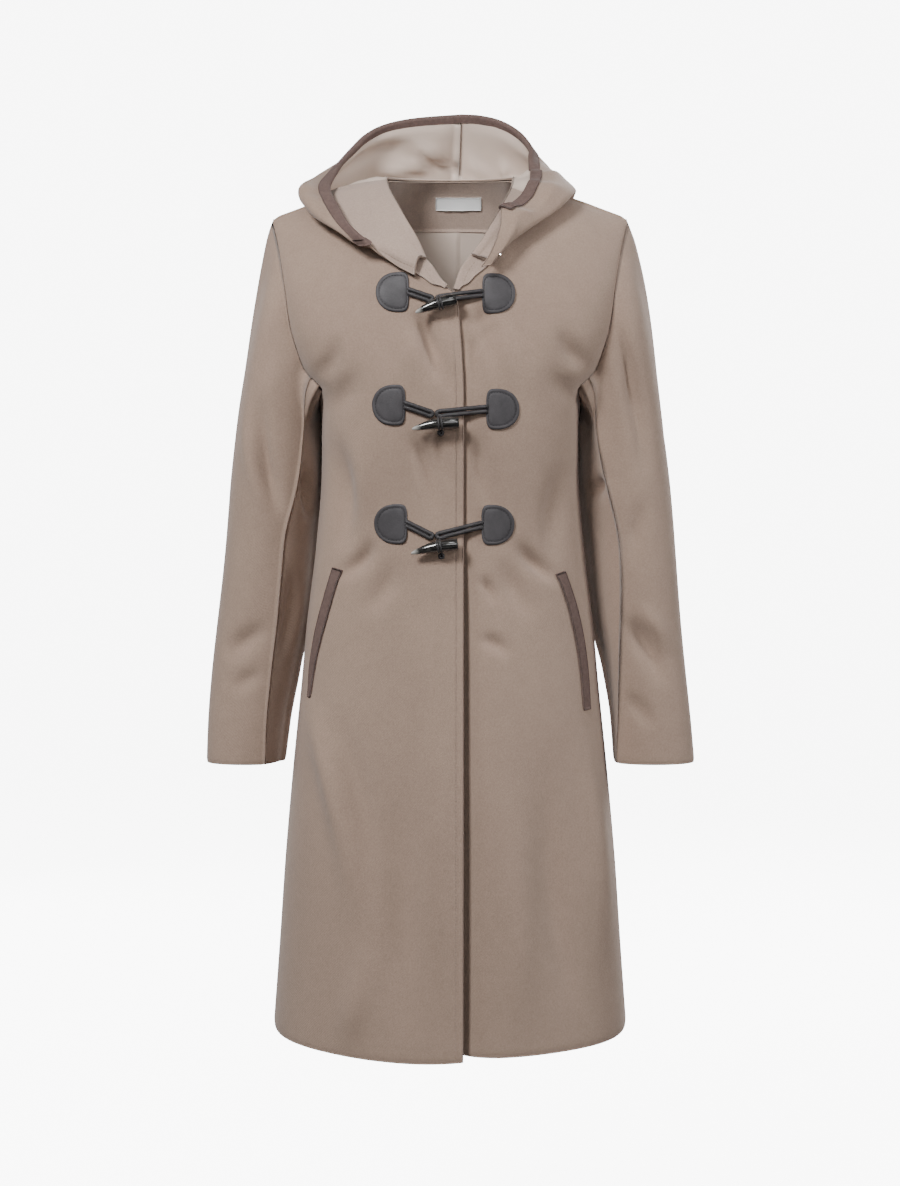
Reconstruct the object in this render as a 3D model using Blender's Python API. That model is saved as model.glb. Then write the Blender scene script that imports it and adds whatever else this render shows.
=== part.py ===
"""Duffle coat, filled out as if worn: wool shell, hood hanging behind the neck, three toggle fastenings.

Metres, +Z up, the front looks along -Y and the wearer's right is at -X. The origin is between the wearer's
shoulders. Every table is in millimetres and states the outer face of its piece.
"""

import math

import bmesh
import bpy
import numpy as np

MM = 0.001

# Cloth and gaps
WOOL = 2.0 * MM
LINING = 1.0 * MM
GAP = 0.35 * MM  # between pieces that are sewn together or lie on each other
LEATHER = 1.6 * MM

# Body: how far the cloth stands out at each height, and how square the section is there
BODY_HEIGHT = (
    -980, -847, -754, -647, -550, -490, -394, -310, -260,
    -230, -215, -205, -195, -172, -150, -100, -50, 10,
)
BODY_HALF_WIDTH = (
    208, 198, 191.5, 182, 172, 166.5, 155, 148.5, 148,
    150, 155, 162, 170, 181, 188, 198, 204, 207,
)
BODY_SQUARENESS = (
    2.1, 2.15, 2.2, 2.2, 2.2, 2.2, 2.25, 2.4, 2.6,
    2.7, 2.8, 2.9, 3.0, 3.1, 3.2, 3.2, 3.0, 2.6,
)
# Height of the shoulder line across the body, and the depth of front and back below that line
SHOULDER_X = (0, 20, 40, 57, 72, 110, 152, 176, 206)
SHOULDER_HEIGHT = (60, 57.5, 50, 39, 26, 16, 3, -6, -17)
DROP = (-40, 0, 8, 20, 42, 61, 98, 130, 190, 252, 300, 420, 500, 600, 800, 1030)
FRONT_DEPTH = (-60, 0, 18, 36, 59, 73, 96, 107, 117, 123, 121, 108, 112, 123, 138, 151)
BACK_DEPTH = (-60, 0, 20, 42, 66, 76, 90, 99, 108, 111, 107, 86, 97, 118, 137, 150)

# Armhole seams: half width at each height; both reach the side seam under the arm
ARM_HEIGHT = (-230, -227, -222, -217, -205, -195, -172, -148, -95, -51, -17)
ARM_FRONT_X = (150, 149, 147, 145, 156, 165, 174, 181, 189, 197, 206)
ARM_BACK_X = (150, 149, 147.5, 147, 155, 162, 171, 177, 185, 195, 206)
ARM_ROWS = (-230, -223, -213, -198, -178, -153, -125, -95, -65, -38, -17)  # where rows of cloth meet it
FRONT_SEAM_ROW = 3  # the sleeve's two seams start at these rows, counted from the underarm
BACK_SEAM_ROW = 4
ARMHOLE_HALF_DEPTH = 66 * MM
UNDERARM = ARM_HEIGHT[0] * MM
SHOULDER_END = ARM_HEIGHT[-1] * MM
SHOULDER_POINT_X = ARM_FRONT_X[-1] * MM

# Neckline seen from the front: half width at each height, from the lapel notch to the neck point
NECK_HEIGHT = (-74, -55, -33, -12, 8, 20, 26)
NECK_X = (29, 36, 47, 57, 67, 71.5, 72)
NECK_POINT_X = NECK_X[-1] * MM
NECK_POINT_Z = NECK_HEIGHT[-1] * MM
NECK_BACK_HEIGHT = 30 * MM  # at the centre back

# Front edges: x of each edge at each height. The right front lies on top of the left one.
EDGE_HEIGHT = (-980, -230, -150, -112, -104, -95, -84, -74)
TOP_EDGE_X = (14, 14.5, 10.5, 6, -5, -13.5, -20.5, -29)
UNDER_EDGE_HEIGHT = (-980, -170, -135, -118, -109, -98, -86, -70)
UNDER_EDGE_X = (-28, -28, -20, -4, 6, 9.5, 14, 25)
# The left front's neckline starts lower and nearer the middle, and joins the common one here
UNDER_NECK_BOTTOM = -70
UNDER_NECK_X = 25
UNDER_NECK_TOP = -55

# How far the left front lies behind the right one, by height
TUCK_HEIGHT = (-980, -560, -300, -120, -60)
TUCK = (9, 5, 3.2, 3.4, 0)

HEM_SIDE = -948 * MM
HEM_BACK = -955 * MM
HEM_TOP_FRONT = -966 * MM
HEM_UNDER_FRONT = -957 * MM
HEM_BOW = 9.5 * MM  # how far the front hem hangs below a straight line between its ends

# Sleeves: rings from the underarm to the cuff
SLEEVE_RING = (
    # height, centre x, half width, centre y, half depth
    (-262, 199.5, 49, 8, 60),
    (-330, 205, 51.5, 12, 59),
    (-394, 210.5, 52, 14, 56),
    (-470, 218, 51.5, 12, 52),
    (-540, 225, 50.5, 5, 47),
    (-600, 231, 49, -1, 43),
    (-645, 234.5, 48, -5, 40),
)
SLEEVE_PRESS = (6, 13, 13, 12, 4, 0, 0)  # how far each ring is pressed in where it rests on the body
SLEEVE_LEAN = 1.6 * MM  # how softly it turns away from the body
SLEEVE_REST = 0.8 * MM  # between a sleeve and the body it rests on
SLEEVE_FLAT = 0.74  # how flat the under sleeve is beside the front seam: 0 is round
SLEEVE_FLAT_END = 215.0  # turn where it is round again
SLEEVE_FLAT_FADE = 0.35  # share of the flat that turns round
CAP_FALL = (0.25, 0.45, 0.25, 0.88)  # way the cloth leaves the armhole: out, more out, forward and down
# Rows of cloth down a sleeve: 0 is the armhole, 1 the first ring, 7 the last
SLEEVE_PLACES = (0, 0.15, 0.35, 0.65, 1, 1.7, 2.4, 3.1, 3.8, 4.6, 5.4, 6.2, 7)
# Seam between upper and under sleeve: turn from straight ahead towards the body, for each ring
FRONT_SEAM_TURN = {"right": (36, 27, 18, 19, 21, 24, 27), "left": (36, 22, 14, 20, 34, 50, 62)}
BACK_SEAM_TURN = (-38, -36, -35, -34, -34, -34, -34)

# Hood: for each station from the front corner round to the centre back, the place on the neckline,
# the fold and the face edge, and how far the cloth between the last two swells outwards
HOOD_COLUMNS = ("neck", "fold_x", "fold_y", "fold_z", "face_x", "face_y", "face_z", "swell")
HOOD = {
    "right": (
        (0.00, 34, -115, -72, 39, -114.5, -91, 2),
        (0.10, 50, -111, -66, 52, -112, -84, 3),
        (0.20, 66, -106, -58, 67, -107, -75, 3),
        (0.30, 84, -98, -52, 81, -107, -67, 4),
        (0.42, 112, -81, -46, 94, -114, -55, 8),
        (0.54, 134, -62, -33, 113, -101, -37, 8),
        (0.66, 158, -38, -19, 131, -69, -7, 9),
        (0.78, 182, -2, -1, 140, -31, 16, 12),
        (0.90, 181, 40, -6, 133, 14, 41, 6),
        (1.10, 161, 80, -36, 115, 50, 69, 11),
        (1.35, 132, 112, -80, 93, 71, 91, 21),
        (1.65, 84, 141, -135, 56, 89, 105.5, 26),
        (2.00, 6, 154, -168, -13, 100, 113, 28),
    ),
    "left": (
        (0.00, 47, -110, -79, 34, -118, -85, 3),
        (0.10, 61, -105, -62, 43, -117, -71, 5),
        (0.20, 71, -101, -54, 50, -110, -52, 7),
        (0.30, 85, -94, -48, 54, -100, -34, 8),
        (0.42, 103, -82, -35, 58, -90, -14, 11),
        (0.54, 120, -66, -24, 68, -80, -12, 12),
        (0.66, 137, -44, -11, 80, -62, -5, 15),
        (0.78, 151, -12, 4, 91, -28, 11, 18),
        (0.90, 154, 36, 5, 95, 10, 38, 17),
        (1.10, 147, 78, -27, 96, 50, 69, 19),
        (1.35, 128, 112, -76, 77, 75, 94, 22),
        (1.65, 84, 141, -135, 44, 92, 110, 26),
        (2.00, -6, 154, -168, 13, 100, 113, 28),
    ),
}
HOOD_CLEAR = 4.5 * MM  # lowest ply above the shoulders
HOOD_NECK_CLEAR = 1.8 * MM
HOOD_EXTRA_GAP = 0.25 * MM  # more room for the lining in the folds
HOOD_PLIES = 15.0 * MM  # room for the lower ply where the face edge lies over it
HOOD_STATIONS = (*np.arange(0, 6, 0.75), *(np.arange(18, 27) / 3), *np.arange(9, 12.1, 0.75))
HOOD_COUNT = 12  # points across the cloth at each station
HOOD_RELAX_ROUNDS = 3
FACING_STATION = {"right": 22 / 3, "left": 6.0}  # the wool facing inside the hood ends here; then satin
FACING_GAP = 0.15 * MM  # how far the satin stops short of that place
BINDING_STATION = {"right": 3.75, "left": 3.75}  # the binding starts here
BINDING_WIDTH = 10.0 * MM  # of the leg on the outside
BINDING_INSIDE = 6.0 * MM
BINDING = 0.9 * MM
BINDING_GAP = 0.8 * MM

# Fastenings, top to bottom: patch centres, height of the cords under the toggle, and toggle ends
FASTENING_COLUMNS = (
    "right_x", "right_z", "left_x", "left_z", "cord_z", "wide_x", "wide_z", "tip_x", "tip_z",
)
FASTENINGS = (
    (-64, -110, 54, -111.5, -118, 6, -121, -36, -135),
    (-68, -235.5, 58.5, -240, -245, 9.5, -254, -40, -261),
    (-66, -368, 53.5, -369, -381, 8, -391, -40, -401),
)
PATCH_WIDTH = 37 * MM
PATCH_HEIGHT = 45 * MM
PATCH_GAP = 0.9 * MM
CORD_RADIUS = 2.3 * MM
CORD_SPACING = 5.2 * MM  # between the two strands of a cord
CORD_LIFT = 0.7 * MM
CORD_END_RIGHT = -22 * MM
CORD_END_LEFT = -12 * MM
TOGGLE_RADIUS = 6.6 * MM
TOGGLE_SHAPE = (0.45, 0.80, 0.97, 1.0, 0.99, 0.93, 0.84, 0.73, 0.62, 0.50, 0.26)
TOGGLE_BOW = 2.0 * MM
KNOT_RADIUS = 3.8 * MM
KNOTS = {2: (-10.5, -266), 3: (-9.5, -404)}
STUD_PLACE = (54 * MM, -65 * MM)
STUD_RADIUS = 2.0 * MM

# Neck: the label and the turned-out lapels
LABEL_X = (-17, 38)
LABEL_Z = (15.5, 1)
LABEL_THICK = 0.6 * MM
LABEL_GAP = 1.6 * MM
LAPEL_SHARE = (0.0, 0.35, 0.7, 1.0)  # along the lapel from the front edge up to the notch
LAPEL_RANGE = {"right": (-101, -75), "left": (-103, -71)}
LAPEL_WIDTH = {"right": (6, 11, 15, 17), "left": (8, 13, 16, 19)}
LAPEL_INSIDE = 22
LAPEL_THICK = 1.4 * MM
LAPEL_GAP = 0.8 * MM

# Pocket welts: centre line (x, z), top to bottom, and width
WELTS = {
    "right": ((-128, -420), (-141, -465), (-150, -500), (-156, -532), (-159.5, -566)),
    "left": ((126, -424), (139.5, -466), (147, -500), (152, -535), (155.5, -580)),
}
WELT_WIDTH = 10 * MM
WELT_THICK = 1.6 * MM

# Looks: linear colour, roughness, metallic
LOOKS = {
    "wool": ((0.32, 0.245, 0.20), 0.9, 0.0),
    "wool_inside": ((0.40, 0.32, 0.275), 0.9, 0.0),
    "satin": ((0.47, 0.40, 0.35), 0.4, 0.0),
    "suede_trim": ((0.125, 0.085, 0.078), 0.9, 0.0),
    "leather": ((0.075, 0.07, 0.073), 0.55, 0.0),
    "leather_cord": ((0.075, 0.07, 0.073), 0.5, 0.0),
    "horn": ((0.012, 0.011, 0.011), 0.18, 0.0),
    "label_cloth": ((0.82, 0.82, 0.81), 0.6, 0.0),
    "stud_metal": ((0.75, 0.75, 0.74), 0.25, 1.0),
}


# ---------------------------------------------------------------- curves and surfaces

def smooth(xs, ys, x, rounded=False):
    """Cubic through the points. The xs rise; beyond the ends it runs straight on.

    It never overshoots a point, unless it is `rounded`, which turns corners in a wider bend.
    """
    xs = np.asarray(xs, float)
    ys = np.asarray(ys, float)
    step = np.diff(xs)
    slope = np.diff(ys) / step
    tangent = np.empty_like(ys)
    tangent[0] = slope[0]
    tangent[-1] = slope[-1]
    inner = slope[:-1] * slope[1:]
    weight_a = 2 * step[1:] + step[:-1]
    weight_b = step[1:] + 2 * step[:-1]
    safe_a = np.where(inner > 0, slope[:-1], 1.0)
    safe_b = np.where(inner > 0, slope[1:], 1.0)
    mean = (weight_a + weight_b) / (weight_a / safe_a + weight_b / safe_b)
    average = (slope[:-1] * step[1:] + slope[1:] * step[:-1]) / (step[1:] + step[:-1])
    tangent[1:-1] = average if rounded else np.where(inner > 0, mean, 0.0)
    x = np.asarray(x, float)
    cell = np.clip(np.searchsorted(xs, x) - 1, 0, len(xs) - 2)
    t = (x - xs[cell]) / step[cell]
    before = t < 0
    after = t > 1
    u = np.clip(t, 0, 1)
    value = (
        ys[cell] * (2 * u**3 - 3 * u**2 + 1)
        + ys[cell + 1] * (3 * u**2 - 2 * u**3)
        + tangent[cell] * step[cell] * (u**3 - 2 * u**2 + u)
        + tangent[cell + 1] * step[cell] * (u**3 - u**2)
    )
    value = np.where(before, ys[0] + tangent[0] * (x - xs[0]), value)
    return np.where(after, ys[-1] + tangent[-1] * (x - xs[-1]), value)


def from_table(heights, values, z):
    """A millimetre table read at a height in metres."""
    return smooth(heights, values, z / MM) * MM


def ease(t):
    t = np.clip(t, 0.0, 1.0)
    return t * t * (3 - 2 * t)


def shoulder_height(x):
    return smooth(SHOULDER_X, SHOULDER_HEIGHT, abs(x) / MM) * MM


def body_y(x, z, face):
    """The outer face of the body: face is -1 for the front and 1 for the back."""
    depth = FRONT_DEPTH if face < 0 else BACK_DEPTH
    reach = smooth(DROP, depth, (shoulder_height(x) - z) / MM) * MM
    half = from_table(BODY_HEIGHT, BODY_HALF_WIDTH, z)
    power = smooth(BODY_HEIGHT, BODY_SQUARENESS, z / MM)
    share = np.clip(1 - np.clip(abs(x) / half, 0, 1) ** power, 0, 1) ** (1 / power)
    return face * reach * share


def outside_body(point):
    """How far a point is outside the body, roughly, in metres."""
    x, y, z = point
    face = -1 if y < 0 else 1

    def level(p):
        return float(abs(p[1]) - face * body_y(p[0], p[2], face))

    here = level((x, y, z))
    step = 0.5 * MM
    slope = np.array([
        level((x + step, y, z)) - here,
        level((x, y + step, z)) - here,
        level((x, y, z + step)) - here,
    ]) / step
    steep = max(float(np.linalg.norm(slope)), 0.2)
    return here / steep, slope / steep


def clear_of_body(point, room):
    """Moves a point straight out of the body until it is at least `room` away."""
    point = np.array(point, float)
    for _ in range(60):
        away, direction = outside_body(point)
        if away >= room:
            break
        point = point + direction * min(max(room - away, 0.1 * MM), 2 * MM)
    return point


def grid_normals(grid, outward):
    """Unit normals of a grid of points, turned so that on the whole they agree with `outward`."""
    normal = np.cross(np.gradient(grid, axis=0), np.gradient(grid, axis=1))
    normal /= np.maximum(np.linalg.norm(normal, axis=2, keepdims=True), 1e-12)
    return normal if np.sum(normal * outward) > 0 else -normal


def body_normal(point, face):
    """Outward normal of the body; at the shoulder and side seams it lies in the seam's plane."""
    step = 0.5 * MM
    x, _, z = point
    along_x = (float(body_y(x + step, z, face)) - float(body_y(x - step, z, face))) / (2 * step)
    along_z = (float(body_y(x, z + step, face)) - float(body_y(x, z - step, face))) / (2 * step)
    normal = np.array([-along_x, 1.0, -along_z]) * face
    normal /= np.linalg.norm(normal)
    normal[1] *= float(ease(abs(body_y(x, z, face)) / (9 * MM)))
    if np.linalg.norm(normal) < 0.05:
        normal[0] = math.copysign(1.0, x)
    return normal / np.linalg.norm(normal)


def body_normals(grid, face):
    return np.array([[body_normal(point, face) for point in row] for row in grid])


# ---------------------------------------------------------------- objects

def material(look):
    """The material of a look, made the first time it is asked for."""
    made = bpy.data.materials.get(look)
    if made is not None:
        return made
    colour, roughness, metallic = LOOKS[look]
    made = bpy.data.materials.new(look)
    made.use_nodes = True
    shader = made.node_tree.nodes["Principled BSDF"]
    shader.inputs["Base Color"].default_value = (*colour, 1.0)
    shader.inputs["Roughness"].default_value = roughness
    shader.inputs["Metallic"].default_value = metallic
    return made


def turn_outward(mesh):
    """Flips every face of a closed mesh whose faces look inward."""
    work = bmesh.new()
    work.from_mesh(mesh)
    if work.calc_volume(signed=True) < 0:
        bmesh.ops.reverse_faces(work, faces=work.faces)
        work.to_mesh(mesh)
    work.free()


def add_object(name, points, faces, look):
    mesh = bpy.data.meshes.new(name)
    mesh.from_pydata([tuple(p) for p in points], [], faces)
    mesh.validate()
    turn_outward(mesh)
    mesh.shade_smooth()
    mesh.set_sharp_from_angle(angle=math.radians(50))
    made = bpy.data.objects.new(name, mesh)
    mesh.materials.append(material(look))
    bpy.context.scene.collection.objects.link(made)
    return made


def closed_wall(lower, upper):
    """Points and faces of the solid between two equal grids; `upper` is on the side of the grid normals."""
    rows, cols = lower.shape[:2]
    points = np.concatenate([lower.reshape(-1, 3), upper.reshape(-1, 3)])
    half = rows * cols
    faces = []

    def at(row, col, top):
        return row * cols + col + (half if top else 0)

    def add_quad(a, b, c, d):
        """Two triangles that meet on the shorter diagonal, so that neighbouring pieces bend alike."""
        if np.linalg.norm(points[a] - points[c]) <= np.linalg.norm(points[b] - points[d]):
            faces.extend([(a, b, c), (a, c, d)])
        else:
            faces.extend([(a, b, d), (b, c, d)])

    for row in range(rows - 1):
        for col in range(cols - 1):
            a, b = at(row, col, True), at(row + 1, col, True)
            c, d = at(row + 1, col + 1, True), at(row, col + 1, True)
            add_quad(a, b, c, d)
            add_quad(a - half, d - half, c - half, b - half)
    for row in range(rows - 1):
        last = cols - 1
        nxt = row + 1
        add_quad(at(row, 0, False), at(nxt, 0, False), at(nxt, 0, True), at(row, 0, True))
        add_quad(at(nxt, last, False), at(row, last, False), at(row, last, True), at(nxt, last, True))
    for col in range(cols - 1):
        last = rows - 1
        nxt = col + 1
        add_quad(at(0, nxt, False), at(0, col, False), at(0, col, True), at(0, nxt, True))
        add_quad(at(last, col, False), at(last, nxt, False), at(last, nxt, True), at(last, col, True))
    return points, faces


def wall(name, grid, normals, low, high, look):
    """A cloth piece: the grid moved along its outward normals by `low` and by `high`, and closed."""
    turning = np.cross(np.gradient(grid, axis=0), np.gradient(grid, axis=1))
    if np.sum(turning * normals) < 0:
        grid, normals = grid[:, ::-1], normals[:, ::-1]
    points, faces = closed_wall(grid + normals * low, grid + normals * high)
    return add_object(name, points, faces, look)


def swept_section(name, frames, section, look):
    """A closed section carried along frames (origin, first axis, second axis)."""
    rings = []
    for origin, first, second in frames:
        rings.append([origin + first * a + second * b for a, b in section])
    count = len(section)
    points = [p for ring in rings for p in ring]
    faces = []
    for ring in range(len(rings) - 1):
        for k in range(count):
            nxt = (k + 1) % count
            a = ring * count + k
            b = ring * count + nxt
            faces.append((a, b, b + count, a + count))
    faces.append(tuple(reversed(range(count))))
    last = (len(rings) - 1) * count
    faces.append(tuple(range(last, last + count)))
    return add_object(name, points, faces, look)


def tube(name, path, radii, look, sides):
    """A round tube along a path, with a radius at each point and flat ends."""
    path = np.asarray(path, float)
    radii = np.broadcast_to(np.asarray(radii, float), (len(path),))
    tangent = np.gradient(path, axis=0)
    tangent /= np.linalg.norm(tangent, axis=1, keepdims=True)
    frames = []
    for point, ahead, radius in zip(path, tangent, radii):
        side = np.cross(ahead, (0.0, -1.0, 0.0))
        side /= np.linalg.norm(side)
        up = np.cross(side, ahead)
        frames.append((point, side * radius, up * radius))
    ring = [(math.cos(2 * math.pi * k / sides), math.sin(2 * math.pi * k / sides)) for k in range(sides)]
    return swept_section(name, frames, ring, look)


def resample(points, count, last_step):
    """A smooth curve through points, read at even steps of the path and a last step of its own."""
    points = np.asarray(points, float)
    along = np.concatenate([[0], np.cumsum(np.linalg.norm(np.diff(points, axis=0), axis=1))])
    places = [*np.linspace(0, along[-1] - last_step, count - 1), along[-1]]
    return np.stack([smooth(along, points[:, k], places, rounded=True) for k in range(3)], axis=1)


# ---------------------------------------------------------------- body panels

def panel_point(x, z, face, tuck=0.0):
    return np.array([x, float(body_y(x, z, face)) + tuck, z])


def tuck_depth(x, z):
    """How far the left front lies behind its plain surface, most under the other front."""
    full = float(smooth(TUCK_HEIGHT, TUCK, z / MM)) * MM
    return full * float(ease((60 * MM - x) / (48 * MM)))


def front_rows(hem):
    """Inner and outer height of each row of a front, from the hem to the shoulder seam."""
    skirt = (
        (hem, HEM_SIDE / MM), (-895, -885), (-815, -812), (-735, -735), (-655, -655), (-575, -575),
        (-500, -500), (-460, -460), (-420, -420), (-385, -386), (-350, -352), (-315, -320), (-280, -290),
        (-248, -262),
    )
    chest = (-212, -178, -145, -112, -100, -87, -74, -50, -22, 4, 26)
    return [*skirt, *zip(chest, ARM_ROWS)]


def neck_x(side, height):
    """Distance of the neckline from the middle, in millimetres."""
    if side == "left" and height < UNDER_NECK_TOP:
        share = (height - UNDER_NECK_BOTTOM) / (UNDER_NECK_TOP - UNDER_NECK_BOTTOM)
        return UNDER_NECK_X + (NECK_X[1] - UNDER_NECK_X) * share
    return float(smooth(NECK_HEIGHT, NECK_X, height))


def edge_point(side, height):
    """x of the inner edge of a front at a height, in millimetres: front edge, lapel roll and neckline."""
    if side == "right":
        if height > NECK_HEIGHT[0]:
            return -neck_x(side, height)
        return float(smooth(EDGE_HEIGHT, TOP_EDGE_X, height))
    if height > UNDER_NECK_BOTTOM:
        return neck_x(side, height)
    return float(smooth(UNDER_EDGE_HEIGHT, UNDER_EDGE_X, height))


def front_grid(side, columns=10):
    """Rows from the hem up, columns from the front edge to the side seam and armhole."""
    sign = -1 if side == "right" else 1
    on_top = side == "right"
    rows = []
    for inner, outer in front_rows((HEM_TOP_FRONT if on_top else HEM_UNDER_FRONT) / MM):
        x_in = edge_point(side, inner) * MM
        x_out = sign * float(arm_or_side(outer * MM, -1))
        rows.append(panel_row(x_in, inner * MM, x_out, outer * MM, -1, columns, on_top))
    return np.array(rows)


def arm_or_side(z, face):
    if z > UNDERARM:
        return from_table(ARM_HEIGHT, ARM_FRONT_X if face < 0 else ARM_BACK_X, z)
    return from_table(BODY_HEIGHT, BODY_HALF_WIDTH, z)


def turn_of(x, z):
    """The angle round the body of a point on it."""
    return math.asin(max(-1.0, min(1.0, x / float(from_table(BODY_HEIGHT, BODY_HALF_WIDTH, z)))))


def panel_row(x_in, z_in, x_out, z_out, face, columns, on_top=True):
    start, stop = turn_of(x_in, z_in), turn_of(x_out, z_out)
    crown = float(ease((z_out - UNDERARM) / (SHOULDER_END - UNDERARM)))
    row = []
    for share in np.linspace(0, 1, columns):
        turn = start + (stop - start) * share
        middle = z_in + (z_out - z_in) * share
        x = float(from_table(BODY_HEIGHT, BODY_HALF_WIDTH, middle)) * math.sin(turn)
        x = x_in if share == 0 else x_out if share == 1 else x
        z = z_in + (z_out - z_in) * (x - x_in) / (x_out - x_in)
        z += crown * shoulder_bow(x) - hem_bow(z_in, share)
        row.append(panel_point(x, z, face, 0.0 if on_top else tuck_depth(x, z)))
    return row


def hem_bow(z_in, share):
    """How far a front's row hangs below a straight line: most at the hem, and none above the pockets."""
    return HEM_BOW * ease((-790 - z_in / MM) / 170.0) * (1 - abs(2 * share - 1) ** 3)


def shoulder_bow(x):
    """How far the shoulder line rises over a straight line between its ends."""
    share = (abs(x) - NECK_POINT_X) / (SHOULDER_POINT_X - NECK_POINT_X)
    if share <= 0 or share >= 1:
        return 0.0
    return float(shoulder_height(x)) - (NECK_POINT_Z + (SHOULDER_END - NECK_POINT_Z) * share)


def trimmed(grid, first=0.0, last=0.0, start=0.0, end=0.0):
    """The grid with its borders drawn in: first and last row, first and last column."""
    grid = grid.copy()

    def draw_in(edge, inner, amount):
        way = inner - edge
        length = np.linalg.norm(way, axis=1, keepdims=True)
        return edge + way / np.maximum(length, 1e-9) * amount

    grid[0] = draw_in(grid[0], grid[1], first)
    grid[-1] = draw_in(grid[-1], grid[-2], last)
    grid[:, 0] = draw_in(grid[:, 0], grid[:, 1], start)
    grid[:, -1] = draw_in(grid[:, -1], grid[:, -2], end)
    return grid


def back_column_shares():
    """Places across a back row, as shares of its half width; the fourth is the neck point."""
    neck = NECK_POINT_X / SHOULDER_POINT_X
    inner = [neck * k / 4 for k in range(4)]
    outer = [neck + (1 - neck) * math.sin(math.pi / 2 * k / 5) for k in range(6)]
    half = inner + outer
    return [-value for value in reversed(half[1:])] + half


def top_height(x):
    """Top edge of the back: the shoulder seam, and between the neck points the neckline."""
    if abs(x) >= NECK_POINT_X:
        return float(shoulder_height(x))
    share = abs(x) / NECK_POINT_X
    return NECK_BACK_HEIGHT + (NECK_POINT_Z - NECK_BACK_HEIGHT) * share**3


def back_grid():
    heights = (HEM_SIDE / MM, -885, -812, -735, -655, -575, -500, -430, -368, -312, -266, *ARM_ROWS)
    rows = []
    for height in heights:
        z_out = height * MM
        x_out = float(arm_or_side(z_out, 1))
        rise = float(ease((z_out - UNDERARM) / (SHOULDER_END - UNDERARM)))
        row = []
        for share in back_column_shares():
            x = x_out * share
            top = top_height(SHOULDER_POINT_X * share) - SHOULDER_END
            hem = (HEM_BACK - HEM_SIDE) * (1 - share * share) * float(ease((-700 - height) / 250.0))
            z = z_out + top * rise + hem
            if height == ARM_ROWS[-1]:
                x = SHOULDER_POINT_X * share
                z = top_height(x)
            row.append(panel_point(x, z, 1))
        rows.append(row)
    return np.array(rows)


# ---------------------------------------------------------------- sleeves

def armhole_ring(side):
    """The armhole's corners as (turn, point): 0 at the shoulder, 90 in front, 180 below, 270 behind."""
    sign = -1 if side == "right" else 1
    middle_z = (SHOULDER_END + UNDERARM) / 2
    tall = (SHOULDER_END - UNDERARM) / 2
    wide = ARMHOLE_HALF_DEPTH
    ring = []
    for face in (-1, 1):
        rows = reversed(ARM_ROWS) if face < 0 else ARM_ROWS[1:-1]
        for height in rows:
            z = height * MM
            x = float(from_table(ARM_HEIGHT, ARM_FRONT_X if face < 0 else ARM_BACK_X, z))
            y = float(body_y(x, z, face))
            turn = math.degrees(math.atan2(abs(y) / wide, (z - middle_z) / tall))
            ring.append((turn if face < 0 else 360.0 - turn, np.array([sign * x, y, z])))
    return ring


def armhole_at(ring, turn):
    turns = [entry[0] + whole for whole in (-360.0, 0.0, 360.0) for entry in ring]
    points = np.array([entry[1] for entry in ring] * 3)
    return np.array([np.interp(turn, turns, points[:, k]) for k in range(3)])


def side_x(y, z):
    """Half width of the body at depths, below the arms."""
    drop = -z / MM
    reach = np.where(y < 0, smooth(DROP, FRONT_DEPTH, drop), smooth(DROP, BACK_DEPTH, drop)) * MM
    power = smooth(BODY_HEIGHT, BODY_SQUARENESS, z / MM)
    share = np.clip(1 - np.clip(abs(y) / reach, 0, 1) ** power, 0, 1) ** (1 / power)
    return from_table(BODY_HEIGHT, BODY_HALF_WIDTH, z) * share


def sleeve_section(side, ring, turns):
    """Points round a sleeve at a ring, which may lie between two rows of SLEEVE_RING.

    It is an ellipse, flattened behind the front seam, and pressed against the body where it rests on it.
    """
    sign = -1 if side == "right" else 1
    rows = np.array(SLEEVE_RING, float)
    order = np.arange(len(rows))
    height, centre_x, half_x, centre_y, half_y = [float(smooth(order, c, ring)) * MM for c in rows.T]

    def ellipse(turn):
        angle = np.radians(turn)
        return centre_x + half_x * np.cos(angle), centre_y - half_y * np.sin(angle)

    turns = np.asarray(turns, float)
    seam = 90.0 + float(smooth(order, FRONT_SEAM_TURN[side], ring))
    share = (turns - seam) / (SLEEVE_FLAT_END - seam)
    flat = np.where((share > 0) & (share < 1), SLEEVE_FLAT * ease((1 - share) / SLEEVE_FLAT_FADE), 0.0)
    (x, y), (x_seam, y_seam), (x_end, y_end) = ellipse(turns), ellipse(seam), ellipse(SLEEVE_FLAT_END)
    x = x + flat * (x_seam + (x_end - x_seam) * share - x)
    y = y + flat * (y_seam + (y_end - y_seam) * share - y)
    press = float(smooth(order, SLEEVE_PRESS, ring)) * MM
    x = x - press * np.clip(-np.cos(np.radians(turns)), 0, 1)
    body = side_x(y, height) + SLEEVE_REST
    x = (x + body + np.hypot(x - body, SLEEVE_LEAN)) / 2
    return np.stack([sign * x, y, np.full_like(x, height)], axis=-1)


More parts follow.
